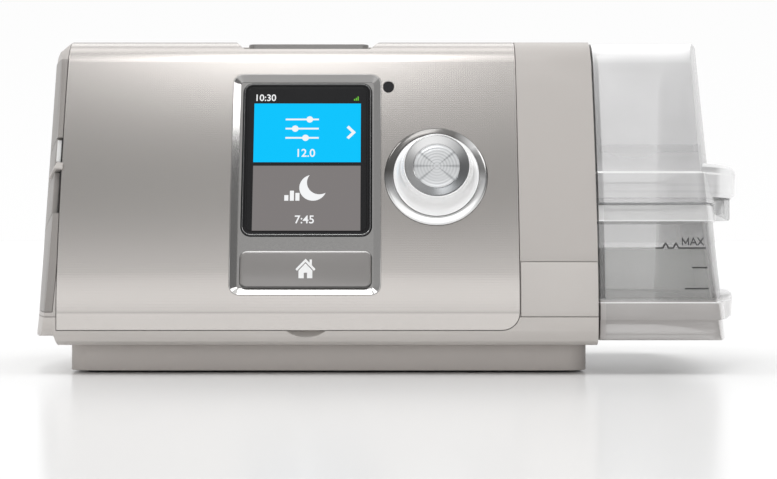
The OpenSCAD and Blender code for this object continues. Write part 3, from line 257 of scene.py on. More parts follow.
floor_finish = Finish("pale floor", Roughness=0.2, Specular_IOR_Level=0.14, Emission_Strength=0.30)
# Away from the machine the floor is painted lighter and glows: painted light that blends it into
# the white room.
far = floor_finish.node("VectorMath", {"operation": "LENGTH"}, {0: floor_finish.spot}, out="Value")
fade = far.between(0.4, 2.2)
floor_finish.shade(Base_Color=floor_finish.mix(fade, (0.89, 0.89, 0.89), (0.94, 0.94, 0.94)),
                   Emission_Color=floor_finish.mix(fade, (0, 0, 0), (1, 1, 1)))
bpy.ops.mesh.primitive_plane_add(size=60)
floor = bpy.context.object
floor.name = "floor"
floor.data.materials.append(floor_finish.material)


# The case shells: the pan below and the upper case are injection moulded in a warm grey
# plastic with a fine eroded grain, and screwed together from below.
def moulded(name, colour, gloss=0.42, grain=0.00045, depth=0.000012, **constants):
    """Moulded plastic: eroded grain, and a faint unevenness of colour and gloss."""
    finish = Finish(name, **constants)
    broad = finish.noise(28)
    fine = finish.noise(1 / grain, 3)
    return finish.shade(
        Base_Color=finish.mix(broad * 0.6 + fine * 0.4, tint(colour, 0.965), tint(colour, 1.03)),
        Roughness=gloss + (broad - 0.5) * 0.08 + (fine - 0.5) * 0.06,
        Normal=finish.relief(fine, depth),
    ).material


def only(piece):
    """Selects one piece and makes it the active one."""
    bpy.ops.object.select_all(action="DESELECT")
    piece.select_set(True)
    bpy.context.view_layer.objects.active = piece
    return piece


def placed(piece, name, body, finish):
    """Settles a finished piece: its place goes into its mesh; it gets a name, finish and body."""
    only(piece)
    bpy.ops.object.transform_apply(location=True, rotation=True, scale=True)
    piece.name = name
    piece.data.materials.clear()
    piece.data.materials.append(finish)
    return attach(piece, body)


def modified(piece, kind, **settings):
    """Adds a modifier with these settings and applies it."""
    only(piece)
    added = piece.modifiers.new(kind.lower(), kind)
    for key, value in settings.items():
        setattr(added, key, value)
    bpy.ops.object.modifier_apply(modifier=added.name)
    return piece


def recast(node, finish, edge=0.0, steps=2, sharp=28, flat=0.4):
    """A welded copy of a CAD node with softened edges, which takes the node's place.

    Faces that meet within `flat` degrees are merged first; 0 keeps them all.
    """
    source = frame["nodes"][node]
    piece = bpy.data.objects.new(node + "_shell", source.data.copy())
    scene.collection.objects.link(piece)
    only(piece)
    bpy.ops.object.mode_set(mode="EDIT")
    bpy.ops.mesh.select_all(action="SELECT")
    bpy.ops.mesh.remove_doubles(threshold=2e-6)
    if flat:
        bpy.ops.mesh.dissolve_limited(angle_limit=math.radians(flat))
    bpy.ops.object.mode_set(mode="OBJECT")
    if edge:
        modified(piece, "BEVEL", width=edge, segments=steps, limit_method="ANGLE",
                 angle_limit=math.radians(sharp), miter_outer="MITER_ARC")
    bpy.ops.object.shade_smooth_by_angle(angle=math.radians(sharp))
    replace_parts(piece, node)
    return placed(piece, node + "_shell", source["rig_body"], finish)


def finished(finish, *nodes):
    """Gives CAD nodes whose shape stays a finish of their own."""
    for node in nodes:
        piece = frame["nodes"][node]
        piece.data.materials.clear()
        piece.data.materials.append(finish)


case_grey = moulded("case_grey", (0.470, 0.442, 0.420))
pan_grey = moulded("pan_grey", (0.530, 0.500, 0.474))
upper_shell = recast("main_case", case_grey, edge=0.0004)
lower_shell = recast("base_pan", pan_grey, edge=0.0004)


def eased(share):
    """A share from 0 to 1 that starts and ends softly."""
    share = held(share)
    return share * share * (3 - 2 * share)


def scored(piece, *places):
    """Lines across a shell, square to its length, along which it can be reshaped."""
    only(piece)
    bpy.ops.object.mode_set(mode="EDIT")
    for place in places:
        bpy.ops.mesh.select_all(action="SELECT")
        bpy.ops.mesh.bisect(plane_co=(place, 0, 0), plane_no=(1, 0, 0))
    bpy.ops.object.mode_set(mode="OBJECT")


# The left end of the case drops a little beside the fascia, and the pan is cut back under it:
# where each starts and how far it runs, by how much it moves, and between which heights
drop_x, drop_run, drop_by, drop_from, drop_rise = -0.1130, 0.006, 0.0036, 0.100, 0.012
back_x, back_run, back_by, back_from, back_rise = -0.1139, 0.0015, 0.0035, 0.018, 0.009
scored(upper_shell, drop_x, -0.1138, -0.1146, -0.1154, -0.1162, -0.1172, -0.119)
for corner in upper_shell.data.vertices:
    corner.co.z -= (drop_by * eased((drop_x - corner.co.x) / drop_run)
                    * eased((corner.co.z - drop_from) / drop_rise))
scored(lower_shell, back_x, -0.1144, -0.1149, -0.1154)
for corner in lower_shell.data.vertices:
    corner.co.z += (back_by * eased((back_x - corner.co.x) / back_run)
                    * held((back_from - corner.co.z) / back_rise))


# The plinth: one dark moulding that stands under the pan, with four rubber feet let into it
# and the long screws that go up through it into the case.
plinth_grey = moulded("plinth_grey", (0.525, 0.489, 0.463), gloss=0.5)
foot_rubber = moulded("foot_rubber", (0.030, 0.030, 0.031), gloss=0.75, grain=0.0008, depth=0.00003)
recast("plinth", plinth_grey, edge=0.0008, steps=3)
recast("rubber_feet", foot_rubber, edge=0.0003)


def metal(name, colour, gloss, stretch=(1, 1, 1), grain=0.0012, depth=0.000002, under=1.0):
    """Bare metal with fine marks, drawn out along one axis by the tool or the rolling.

    It is plain facing up; facing down, its colour is multiplied by `under`, a painted shade.
    """
    finish = Finish(name, Metallic=1.0)
    drawn = finish.node("VectorMath", {"operation": "MULTIPLY"}, {0: finish.spot, 1: stretch})
    marks = finish.noise(1 / grain, 4, 0.6, drawn)
    broad = finish.noise(35)
    turn = finish.facing_up()
    upward = turn.between(-0.35, 0.2)
    skyward = turn.between(0.3, 0.45)
    worn = finish.mix(marks * 0.6 + broad * 0.4, tint(colour, 0.9), tint(colour, 1.08))
    worn = finish.mix(skyward, worn, colour)
    return finish.shade(
        Base_Color=finish.mix(upward, tint(colour, under), worn),
        Roughness=gloss + (marks - 0.5) * 0.12,
        Normal=finish.relief(marks, depth),
    ).material


steel = metal("steel", (0.56, 0.56, 0.57), 0.3, stretch=(1, 1, 0.15))
finished(steel, "case_screws", "dial_shaft", "door_hinge_pins", "filter_cover_pin", "rotor_shaft",
         "blower_bearings", "tub_hinge_pins", "modem_module")

# The heater's springs shorten by its whole travel as the tub presses the heater down; here
# they are a welded steel copy with a mesh of their own.
springs = recast("heater_springs", steel, flat=0)
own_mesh(springs)


# The fascia: a moulded skin with a silver finish that looks like metal, pressed all over with
# a fine grid, which wraps over the chin and back across the top.
grid_pitch, grid_deep = 0.0008, 0.0000025
fascia_finish = Finish("fascia_silver", Metallic=0.88, Specular_IOR_Level=0.5)
rise = fascia_finish.part("Y") + fascia_finish.part("Z")
across = fascia_finish.part("X").waves(grid_pitch)
grid = across.math("MAXIMUM", rise.waves(grid_pitch * 1.25))
cloud = fascia_finish.noise(22)
crease_z, crease_w = 0.0212, 0.0006
# A dark line is painted along the fold above the chin: painted shade.
painted_crease_shade = (fascia_finish.part("Z") - crease_z).math("ABSOLUTE").between(crease_w, 0.0)
chin = fascia_finish.part("Z") < crease_z
fascia_colour = (0.458, 0.436, 0.417)
shading = grid * 0.45 + 0.42 + (cloud - 0.5) * 0.2 - chin * 1.4
shading = fascia_finish.mix(shading, tint(fascia_colour, 1.05), tint(fascia_colour, 0.95))
fascia_silver = fascia_finish.shade(
    Base_Color=fascia_finish.mix(painted_crease_shade, shading, tint(fascia_colour, 0.8)),
    Roughness=0.26 + (cloud - 0.5) * 0.05,
    Normal=fascia_finish.relief(grid, grid_deep),
).material

# The side view of the case, as its arcs: middle across and up, and the leans they span
case_arcs = (((-0.0107546, 0.022), 0, 12), ((0.290771, -0.0420912), 12, 24),
             ((-0.032863, 0.102), 24, 90))
case_top, chin_top, lean_slack = 0.11599, 0.022, 0.05


def skin_turn(spot):
    """Which way the outer skin of the case faces at a point of it."""
    if spot.z > case_top:
        return Vector((0, 0, 1))
    if spot.z < chin_top:
        return Vector((0, -1, 0))
    for (deep, high), low, top in case_arcs:
        lean = math.degrees(math.atan2(spot.z - high, deep - spot.y))
        if low - lean_slack <= lean <= top + lean_slack:
            return Vector((0, -math.cos(math.radians(lean)), math.sin(math.radians(lean))))
    return None


def trued(piece, turn_at, near=3.5):
    """Turns the shading of a skin true to its arcs, where holes and flats had pulled it."""
    mesh = piece.data
    turns = [normal.vector.copy() for normal in mesh.corner_normals]
    known = {}
    for face in mesh.polygons:
        aim = turn_at(face.center)
        if aim and face.normal.angle(aim) < math.radians(near):
            for index in face.vertices:
                known[index] = turn_at(mesh.vertices[index].co) or aim
    for loop in mesh.loops:
        turns[loop.index] = known.get(loop.vertex_index, turns[loop.index])
    mesh.normals_split_custom_set(turns)
    return piece


trued(recast("front_fascia", fascia_silver, edge=0.0003, steps=3, sharp=30), skin_turn)


# The plain panel low on the end band: a thin moulding in the colour of the case, set flush into
# it beside the fascia.
label_grey = moulded("label_grey", (0.545, 0.516, 0.491))
recast("end_label_panel", label_grey, edge=0.00025)


# The left side panel, darker than the case, and its two doors over the card and the
# accessory port, which hang on steel pins.
side_grey = moulded("side_grey", (0.275, 0.257, 0.243), gloss=0.4)
side_shell = recast("left_side_panel", side_grey, edge=0.0003)
recast("sd_door", side_grey, edge=0.00025)
recast("port_cover", side_grey, edge=0.00025)
side_r = 200
AT_DOORS = (Matrix.Scale(MM, 4) @ Matrix.Translation((-127.5, -10.0048, 10))
            @ Matrix.Rotation(math.radians(0.9), 4, "Y")
            @ Matrix.Rotation(math.radians(-17), 4, "X") @ Matrix.Translation((side_r, 0, 0))
            @ Matrix.Rotation(math.radians(14.2), 4, "Z") @ Matrix.Translation((-side_r, 0, 0)))


def cut(piece, cutter):
    """Takes one closed shape away from another."""
    modified(piece, "BOOLEAN", operation="DIFFERENCE", object=cutter, solver="EXACT")
    bpy.data.objects.remove(cutter)
    return piece


def block(low, high, soft=0.0):
    """A rectangular block in millimetres between two corners, with its edges softened."""
    bpy.ops.object.select_all(action="DESELECT")
    middle = [(a + b) / 2 for a, b in zip(low, high)]
    bpy.ops.mesh.primitive_cube_add(size=1, location=middle)
    piece = bpy.context.object
    piece.scale = [b - a for a, b in zip(low, high)]
    bpy.ops.object.transform_apply(location=True, rotation=True, scale=True)
    if soft:
        modified(piece, "BEVEL", width=soft, segments=3, limit_method="ANGLE",
                 angle_limit=math.radians(40))
    return piece


# A finger slot in front of each door, made dark at its bottom by a black sheet, a painted
# shade, and the ledge between the doors
door_front, slot_front, panel_deep = -15.1, -17.6, 2.3
slot_low, slot_high, gap = 27.1, 54.6, 0.1
for low, high in ((slot_low, 42.5), (45.2, slot_high)):
    slot = block((-3, slot_front, low), (panel_deep + 0.3, door_front, high))
    slot.matrix_world = AT_DOORS
    only(slot)
    bpy.ops.object.transform_apply(location=True, rotation=True, scale=True)
    cut(side_shell, slot)
slot_shade_sheet = block((panel_deep - 0.1, slot_front + gap, slot_low + 2 * gap),
                   (panel_deep, door_front - gap, slot_high - 2 * gap), 0.03)
slot_shade_sheet.matrix_world = AT_DOORS
placed(slot_shade_sheet, "door_slot_shade", "case", foot_rubber)
ledge = block((-0.1, slot_front - 0.9, 42.7), (2.0, -6.0, 45.0), 0.3)
for corner in ledge.data.vertices:
    if corner.co.x < 0.5 and corner.co.z < 44:
        corner.co.x -= 0.9
    corner.co.x += side_r - math.sqrt(side_r ** 2 - corner.co.y ** 2)
ledge.matrix_world = AT_DOORS
placed(ledge, "door_ledge", "case", label_grey)
tab_white = moulded("tab_white", (0.90, 0.90, 0.89), gloss=0.35)
tab = block((0.75, door_front - 0.35, 46.1), (2.2, door_front - 0.05, 54.0), 0.1)
tab.matrix_world = AT_DOORS
placed(tab, "door_tab", "upper_side_door", tab_white)


# The frame of the screen and home button: a metallised moulding, polished on its slopes, whose
# rim follows the curve of the fascia and whose floor carries the glass and the key.
polish_grain, polish_deep = 0.0006, 0.0000006
# Where the frame faces down it is painted darker: painted shade.
bezel_metal = metal("bezel_metal", (0.60, 0.59, 0.58), 0.14, grain=polish_grain,
                    depth=polish_deep, under=0.28)
face_lean = math.radians(72.8988)
face_foot = (0, -0.0612088, 0.0662)
face_r = 368.262
FACE = (Matrix.Translation(face_foot) @ Matrix.Rotation(face_lean, 4, "X")
        @ Matrix.Scale(MM, 4))
screen_x, screen_y, home_y = -29.8, 8.8, -31.3
recess_y, recess_w, recess_h, frame_floor, frame_back = -1.15, 50.0, 79.5, -3.6, -5.8
rim_top, rim_flat, slope_w, slope_deep = 0.06, 0.1, 2.3, 1.42


def on_face(x, y, out=0.0):
    """A place on the front face, in millimetres: across, up the slope and out of it."""
    return FACE @ Matrix.Translation((x, y, out))


def pressed(wide, high, corner, steps, cuts=0):
    """A plate in millimetres with a stepped top; each step goes inwards, then up or down.

    With cuts, its long sides are divided, so that it can follow a curve.
    """
    bpy.ops.object.select_all(action="DESELECT")
    bpy.ops.mesh.primitive_plane_add(size=1)
    piece = bpy.context.object
    bpy.ops.object.mode_set(mode="EDIT")
    bpy.ops.mesh.select_all(action="SELECT")
    bpy.ops.transform.resize(value=(wide, high, 1))
    bpy.ops.mesh.bevel(offset=corner, segments=8, affect="VERTICES")
    if cuts:
        bpy.ops.mesh.select_all(action="DESELECT")
        bpy.ops.object.mode_set(mode="OBJECT")
        for edge in piece.data.edges:
            ends = [piece.data.vertices[index] for index in edge.vertices]
            if abs(ends[0].co.y - ends[1].co.y) > high / 2:
                edge.select = ends[0].select = ends[1].select = True
        bpy.ops.object.mode_set(mode="EDIT")
        bpy.ops.mesh.subdivide(number_cuts=cuts)
        bpy.ops.mesh.select_all(action="SELECT")
    for inward, upward in steps:
        if inward:
            bpy.ops.mesh.inset(thickness=inward, depth=upward)
        else:
            bpy.ops.mesh.extrude_region_move(TRANSFORM_OT_translate={"value": (0, 0, upward)})
    bpy.ops.object.mode_set(mode="OBJECT")
    bpy.ops.object.shade_smooth_by_angle(angle=math.radians(30))
    return piece


# The arc of the fascia below the screen: radius, middle up the slope and out of it, and its top
lower_r, lower_middle, lower_join = 58.4, (-27.55, -59.63), -32.74


def skin_at(y):
    """How far the fascia stands in front of its middle plane, at a height up its slope."""
    if y < lower_join:
        return lower_middle[1] + math.sqrt(lower_r ** 2 - (y - lower_middle[0]) ** 2)
    return math.sqrt(face_r ** 2 - y ** 2) - face_r


# The opening in the fascia follows the outline of the frame, which reaches 0.9 mm higher
# and a little wider than the recess behind it.
frame_x, frame_up, frame_grow = -0.15, 0.9, 1.02
recess_seat = on_face(screen_x, recess_y)
for corner in bpy.data.objects["front_fascia_shell"].data.vertices:
    spot = recess_seat.inverted() @ corner.co
    if abs(spot.x) < recess_w / 2 + 0.4 and abs(spot.y) < recess_h / 2 + 0.5 and spot.z > -7:
        spot.z += skin_at(spot.y + recess_y + frame_up) - skin_at(spot.y + recess_y)
        spot.x, spot.y = spot.x * frame_grow + frame_x, spot.y + frame_up
        corner.co = recess_seat @ spot
bezel_w, bezel_h, bezel_y = recess_w * frame_grow + 0.26, recess_h + 0.26, recess_y + frame_up
bezel_steps = ((0, -frame_back - rim_top), (rim_top, rim_top), (rim_flat, 0.0),
               (slope_w, -slope_deep))
bezel = pressed(bezel_w, bezel_h, 3.5, bezel_steps, cuts=14)
for corner in bezel.data.vertices:
    if corner.co.z > 1:
        corner.co.z += skin_at(corner.co.y + bezel_y)
slope_in = rim_top + rim_flat + slope_w
pocket = pressed(bezel_w - 2 * slope_in, bezel_h - 2 * slope_in, 1.1, ((0, 20),))
pocket.data.transform(Matrix.Translation((0, 0, frame_floor - frame_back)))
cut(bezel, pocket)
key_w, key_h, key_y = 45.0, 13.45, home_y + 0.27
for wide, high, middle, corner in ((45.0, 56.2, screen_y, 3.6), (key_w, key_h, key_y, 2.7)):
    tool = pressed(wide, high, corner, ((0, 20),))
    tool.data.transform(Matrix.Translation((-frame_x, middle - bezel_y, -5)))
    cut(bezel, tool)
only(bezel)
bpy.ops.object.shade_smooth_by_angle(angle=math.radians(18))
bezel.matrix_world = on_face(screen_x + frame_x, bezel_y, frame_back)
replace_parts(placed(bezel, "screen_frame", "case", bezel_metal), "display_bezel")


# The screen: black-edged glass in a stepped black rim over the display, whose picture is drawn
# as thin plates that glow: a status line, a cyan tile and a grey tile with plain signs.
glass = Finish("lens_black", Specular_IOR_Level=0.3, Coat_Weight=0.3, Coat_Roughness=0.03)
smudge = glass.noise(60, 4)
lens_black = glass.shade(
    Base_Color=glass.mix(smudge, (0.006, 0.006, 0.007), (0.011, 0.011, 0.012)),
    Roughness=0.06 + smudge * 0.05,
).material
lens_t, glass_top, rim_step, picture_step = 2.0, -3.0, 0.3, 0.12
lens = pressed(44.8, 56.0, 3.5, ((0, lens_t - 0.35), (0.15, 0.25), (0.2, 0.1), (0.75, 0.0),
                                 (0.15, -rim_step), (0.55, 0.0), (0.1, picture_step)))
lens.matrix_world = on_face(screen_x, screen_y, glass_top - lens_t)
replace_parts(placed(lens, "screen_glass", "case", lens_black), "screen_lens")
rim_w, rim_wide, rim_high, rim_corner = 0.16, 43.9, 55.1, 3.1
rim = pressed(rim_wide, rim_high, rim_corner, ((0, 0.1), (0.04, 0.04)))
rim_hole = pressed(rim_wide - 2 * rim_w, rim_high - 2 * rim_w, rim_corner - rim_w, ((0, 3),))
rim_hole.data.transform(Matrix.Translation((0, 0, -1)))
cut(rim, rim_hole)
rim.matrix_world = on_face(screen_x, screen_y, glass_top - 0.02)
rim_grey = metal("rim_grey", (0.42, 0.42, 0.42), 0.25, grain=polish_grain, depth=polish_deep)
placed(rim, "screen_rim", "case", rim_grey)
sensor_black = moulded("sensor_black", (0.010, 0.010, 0.011), gloss=0.25,
                       Specular_IOR_Level=0.2)
finished(sensor_black, "light_sensor_window")


def glow(name, colour, power=1.0):
    """A lit part of the display: fine rows of dots behind the glass."""
    lit = Finish(name, Base_Color=(0.002, 0.002, 0.002), Roughness=0.2, Specular_IOR_Level=0.08,
                 Emission_Strength=power)
    rows = lit.part("X").waves(0.0003)
    return lit.shade(Emission_Color=lit.mix(rows * 0.5 + 0.5, tint(colour, 0.97), colour)).material


plate_t = 0.03


def thickened(piece, thick):
    """Draws a flat outline up into a thin plate."""
    only(piece)
    bpy.ops.object.mode_set(mode="EDIT")
    bpy.ops.mesh.select_all(action="SELECT")
    bpy.ops.mesh.extrude_region_move(TRANSFORM_OT_translate={"value": (0, 0, thick)})
    bpy.ops.mesh.select_all(action="SELECT")
    bpy.ops.mesh.normals_make_consistent(inside=False)
    bpy.ops.object.mode_set(mode="OBJECT")
    return piece


def tile(wide, high, x=0.0, y=0.0, turn=0.0, thick=plate_t):
    """A thin flat rectangle, in millimetres."""
    bpy.ops.object.select_all(action="DESELECT")
    bpy.ops.mesh.primitive_plane_add(size=1)
    piece = bpy.context.object
    piece.data.transform(Matrix.Diagonal((wide, high, 1, 1)))
    thickened(piece, thick)
    piece.matrix_world = (Matrix.Translation((x, y, 0))
                          @ Matrix.Rotation(math.radians(turn), 4, "Z"))
    bpy.ops.object.transform_apply(location=True, rotation=True, scale=True)
    return piece


def figures(text, high, x, y, align="CENTER"):
    """Plain figures as a thin mesh, in millimetres, a little bolder than the font."""
    bpy.ops.object.select_all(action="DESELECT")
    bpy.ops.object.text_add()
    piece = bpy.context.object
    piece.data.body = text
    piece.data.size = high
    piece.data.align_x = align
    piece.data.extrude = plate_t / 2
    piece.data.offset = high * 0.012
    bpy.ops.object.convert(target="MESH")
    piece = bpy.context.object
    piece.location = (x, y, plate_t / 2)
    bpy.ops.object.transform_apply(location=True, rotation=True, scale=True)
    return piece


def disc(radius, x=0.0, y=0.0, steps=40, thick=plate_t):
    """A thin round plate, in millimetres."""
    bpy.ops.object.select_all(action="DESELECT")
    bpy.ops.mesh.primitive_circle_add(vertices=steps, radius=radius, fill_type="NGON")
    piece = thickened(bpy.context.object, thick)
    piece.location = (x, y, 0)
    bpy.ops.object.transform_apply(location=True, rotation=True, scale=True)
    return piece


def joined(pieces, seat, name, body, finish):
    """Joins flat plates into one sign, each a hair above the last, and settles it in its seat."""
    bpy.ops.object.select_all(action="DESELECT")
    for rank, piece in enumerate(pieces):
        piece.data.transform(Matrix.Translation((0, 0, rank * 0.008)))
        piece.select_set(True)
    bpy.context.view_layer.objects.active = pieces[0]
    if len(pieces) > 1:
        bpy.ops.object.join()
    pieces[0].matrix_world = seat
    return placed(pieces[0], name, body, finish)


picture_w = 37.0
cyan_tile = (29.1, 7.5)
grey_tile = (6.2, -17.2)
screen_white = glow("screen_white", (0.92, 0.93, 0.94))
screen_cyan = glow("screen_cyan", (0.0, 0.56, 1.0))
screen_grey = glow("screen_grey", (0.215, 0.200, 0.198))
screen_green = glow("screen_green", (0.16, 0.52, 0.05))
lit_level = glass_top - rim_step + picture_step + 0.01
for name, (top, bottom), finish in (("screen_tile_top", cyan_tile, screen_cyan),
                                    ("screen_tile_low", grey_tile, screen_grey)):
    joined([tile(picture_w, top - bottom)], on_face(screen_x, (top + bottom) / 2, lit_level),
           name, "case", finish)
signs_level = lit_level + 0.02
signs = [figures("10:30", 3.4, -18.5, 30.1, align="LEFT")]
for row, knob in ((23.2, 2.6), (19.8, -2.4), (16.4, 1.2)):
    signs += [tile(11.5, 0.6, -1.8, row), disc(1.15, -1.8 + knob, row)]
signs += [tile(3.5, 1.0, 15.2, 19.3, turn=-45), tile(3.5, 1.0, 15.2, 17.5, turn=45)]
signs.append(figures("12.0", 4.0, -0.6, 9.5))
signs.append(cut(disc(4.7, 2.2, -1.8, 64), disc(4.3, 4.4, 0.1, 64, thick=0.4)))
for bar, tall in enumerate((2.0, 3.6, 2.8)):
    signs.append(tile(1.4, tall, -6.9 + 1.9 * bar, -6.5 + tall / 2))
signs.append(figures("7:45", 4.0, -0.6, -14.6))
joined(signs, on_face(screen_x, 0, signs_level), "screen_signs", "case",
       screen_white)
bars = [tile(0.42, tall, 16.3 + 0.62 * bar, 30.2 + tall / 2)
        for bar, tall in enumerate((0.6, 1.0, 1.5))]
joined(bars, on_face(screen_x, 0, signs_level), "screen_bars", "case",
       screen_green)


# The home button: a grey key with a painted highlight along its upper edge and painted shade
# along its lower edge, and a white house printed flat on it.
button_colour, fine_grain, grain_deep = (0.225, 0.215, 0.208), 0.00045, 0.000012
button_grey = moulded("button_grey", button_colour, gloss=0.3, Coat_Weight=0.8,
                      Coat_Roughness=0.12)
key_finish = Finish("key_grey", Coat_Weight=0.8, Coat_Roughness=0.12)
key_grain = key_finish.noise(1 / fine_grain, 3)
key_turn = key_finish.facing_up()
# Painted highlight where the key faces up, painted shade where it faces down.
key_painted_highlight = key_turn.between(0.6, 0.8)
key_painted_shade = key_turn.between(0.0, -0.3)
key_colour = key_finish.mix(key_painted_highlight, button_colour, (0.85, 0.84, 0.83))
key_colour = key_finish.mix(key_painted_shade, key_colour, (0.06, 0.058, 0.056))
key_grey = key_finish.shade(Base_Color=key_colour, Roughness=0.3 + (key_grain - 0.5) * 0.06,
                            Normal=key_finish.relief(key_grain, grain_deep)).material
key_top, key_back = -2.6, 3.0
key = pressed(key_w - 0.3, key_h - 0.3, 2.5, ((0, 2.3), (0.1, 0.25), (0.4, 0.35), (0.35, 0.1)))
key.matrix_world = on_face(screen_x, key_y, key_top - key_back)
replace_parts(placed(key, "home_key_cap", "home_key", key_grey), "home_button")
sign_white = moulded("sign_white", (0.86, 0.86, 0.86), gloss=0.45)
sign_tall = 1.18


def shape(*corners):
    """A thin flat plate, in millimetres, with this outline drawn out up the key."""
    mesh = bpy.data.meshes.new("outline")
    mesh.from_pydata([(x, y * sign_tall, 0) for x, y in corners], [], [range(len(corners))])
    piece = bpy.data.objects.new("outline", mesh)
    scene.collection.objects.link(piece)
    return thickened(piece, plate_t)


roof = shape((-3.4, 0.1), (0, 3.2), (1.35, 1.97), (1.35, 2.95), (2.15, 2.95), (2.15, 1.24),
             (3.4, 0.1), (2.9, -0.45), (0, 2.2), (-2.9, -0.45))
house = shape((-2.35, -2.65), (-0.55, -2.65), (-0.55, -1.0), (0.55, -1.0), (0.55, -2.65),
              (2.35, -2.65), (2.35, -0.35), (0, 1.8), (-2.35, -0.35))
joined([roof, house], on_face(screen_x, home_y + 0.17, key_top + 0.03), "home_sign", "home_key",
       sign_white)


# The dial: a polished ring, a white skirt turned in one sweep, and a metal cap with a spun
# disc that is marked with fine circles. Light and shade are painted on the ring and the cap.
dial_x, dial_y = 14.6, 1.3


def on_dial(finish):
    """Places on the dial, across and up its face, and the angle round it."""
    flat_on = finish.node("Mapping", {"vector_type": "TEXTURE"}, {
        "Vector": finish.spot, "Location": on_face(dial_x, dial_y) @ Vector((0, 0, 0)),
        "Rotation": (face_lean, 0, 0)})
    east, north = finish.part("X", flat_on), finish.part("Y", flat_on)
    return east, north, north.math("ARCTAN2", east)


def towards(angle, lean, low, high):
    """A share that rises to 1 where the angle round the dial comes near one lean."""
    return (angle - lean).math("COSINE").between(low, high)


ring_finish = Finish("ring_metal", Metallic=1.0)
ring_angle = on_dial(ring_finish)[2]
ring_marks = ring_finish.noise(1 / 0.0005, 4, 0.6)
# Painted shade: the ring is darker at its upper left and at its right.
ring_painted_shade = towards(ring_angle, 2.1, 0.15, 0.6) + towards(ring_angle, 0.3, 0.93, 0.99) * 0.7
ring_metal = ring_finish.shade(
    Base_Color=ring_finish.mix(ring_painted_shade, (0.74, 0.74, 0.74), (0.17, 0.165, 0.16)),
    Roughness=0.16 + (ring_marks - 0.5) * 0.12,
    Normal=ring_finish.relief(ring_marks, 0.0000005),
).material


def turned(profile, steps=96, solid=False):
    """A turned ring or disc in millimetres, drawn out and widened along its profile."""
    bpy.ops.object.select_all(action="DESELECT")
    radius, height = profile[0]
    bpy.ops.mesh.primitive_circle_add(vertices=steps, radius=radius, location=(0, 0, height),
                                      fill_type="NGON" if solid else "NOTHING")
    piece = bpy.context.object
    bpy.ops.object.mode_set(mode="EDIT")
    bpy.ops.mesh.select_all(action="SELECT")
    for wide, high in profile[1:]:
        bpy.ops.mesh.extrude_region_move(TRANSFORM_OT_translate={"value": (0, 0, high - height)})
        grow = wide / radius
        bpy.ops.transform.resize(value=(grow, grow, 1), center_override=(0, 0, high))
        radius, height = wide, high
    bpy.ops.mesh.select_all(action="SELECT")
    bpy.ops.mesh.remove_doubles(threshold=0.0005)
    bpy.ops.mesh.normals_make_consistent(inside=False)
    bpy.ops.object.mode_set(mode="OBJECT")
    bpy.ops.object.transform_apply(location=True, rotation=False, scale=False)
    bpy.ops.object.shade_smooth_by_angle(angle=math.radians(35))
    return piece


ring_low, ring_out, ring_in = -2.0, 17.6, 14.72
ring = turned([(ring_in, ring_low), (ring_out, ring_low), (ring_out, -0.1), (17.56, 0.08),
               (17.42, 0.24), (17.15, 0.4), (16.8, 0.52), (16.4, 0.63), (15.9, 0.74),
               (15.4, 0.82), (15.05, 0.86), (14.84, 0.84), (14.74, 0.76), (ring_in, 0.6),
               (ring_in, ring_low)])
ring.matrix_world = on_face(dial_x, dial_y)
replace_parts(placed(ring, "dial_ring", "case", ring_metal), "dial_surround")

knob_base, dial_high, skirt_r, bore_r = 0.2, 11.34, 14.6, 3.05
sweep = [(skirt_r - 3.3 * math.sin(u), knob_base + 1.2 + 9.6 * (1 - math.cos(u)))
         for u in (math.pi / 2 * i / 20 for i in range(21))]
skirt = turned([(bore_r, 0.8), (5.4, 0.8), (5.4, 7.6), (9.7, 7.6), (11.3, 2.8), (13.2, 0.45),
                (13.6, knob_base), (14.3, knob_base), (14.52, 0.32), (skirt_r, 0.6)] + sweep +
               [(11.29, 11.15), (11.25, 11.28), (11.15, dial_high), (11.0, dial_high),
                (10.92, 11.26), (10.9, 11.1), (10.9, 9.8), (bore_r, 9.8), (bore_r, 0.8)])
dial_white = moulded("dial_white", (0.975, 0.975, 0.98), gloss=0.14, grain=0.0012,
                     depth=0.000002, Coat_Weight=1.0, Coat_Roughness=0.05,
                     Specular_IOR_Level=0.8)
skirt.matrix_world = on_face(dial_x, dial_y)
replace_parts(placed(skirt, "dial_skirt", "dial", dial_white), "dial_knob")

cap_base = 9.82
cap = turned([(10.83, cap_base), (10.85, 9.9), (10.85, 11.16), (10.8, 11.27), (10.65, 11.33),
              (10.5, 11.3), (8.1, 10.78), (7.9, 10.72), (7.8, 10.62), (7.65, 10.6),
              (7.5, 10.64), (5, 10.7), (2, 10.72)], solid=True)
disc_r, circle_pitch = 0.0077, 0.00105
spun = Finish("dial_metal", Metallic=1.0)
east, north, angle = on_dial(spun)
radius = (east * east + north * north).math("SQRT")
# Painted reflection: three dark streaks across the disc, and its circles show more on its upper
# half; painted light makes the band round the disc lighter towards its upper left.
reflection_streaks = 0.0
for turn in (0.0, 0.7, -0.7):
    reflection_streaks = (angle + turn).math("COSINE").math("ABSOLUTE").math("POWER", 420) + reflection_streaks
rings = radius.waves(circle_pitch)
upper_half = north.between(-0.004, 0.004)
inside = radius < disc_r
sweep_light = towards(angle, 2.2, -1.0, 0.9)
disc_share = reflection_streaks * 0.6 + rings * (upper_half * 0.16 + 0.08) + 0.16
disc_colour = spun.mix(disc_share, (0.78, 0.79, 0.80), (0.34, 0.35, 0.36))
band_colour = spun.mix(sweep_light, (0.15, 0.155, 0.16), (0.53, 0.53, 0.53))
dial_metal = spun.shade(
    Base_Color=spun.mix(inside, band_colour, disc_colour),
    Roughness=0.22 + inside * 0.12,
    Normal=spun.relief(rings * inside, 0.00002, 0.6),
).material
cap.matrix_world = on_face(dial_x, dial_y)
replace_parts(placed(cap, "dial_disc", "dial", dial_metal), "dial_cap")


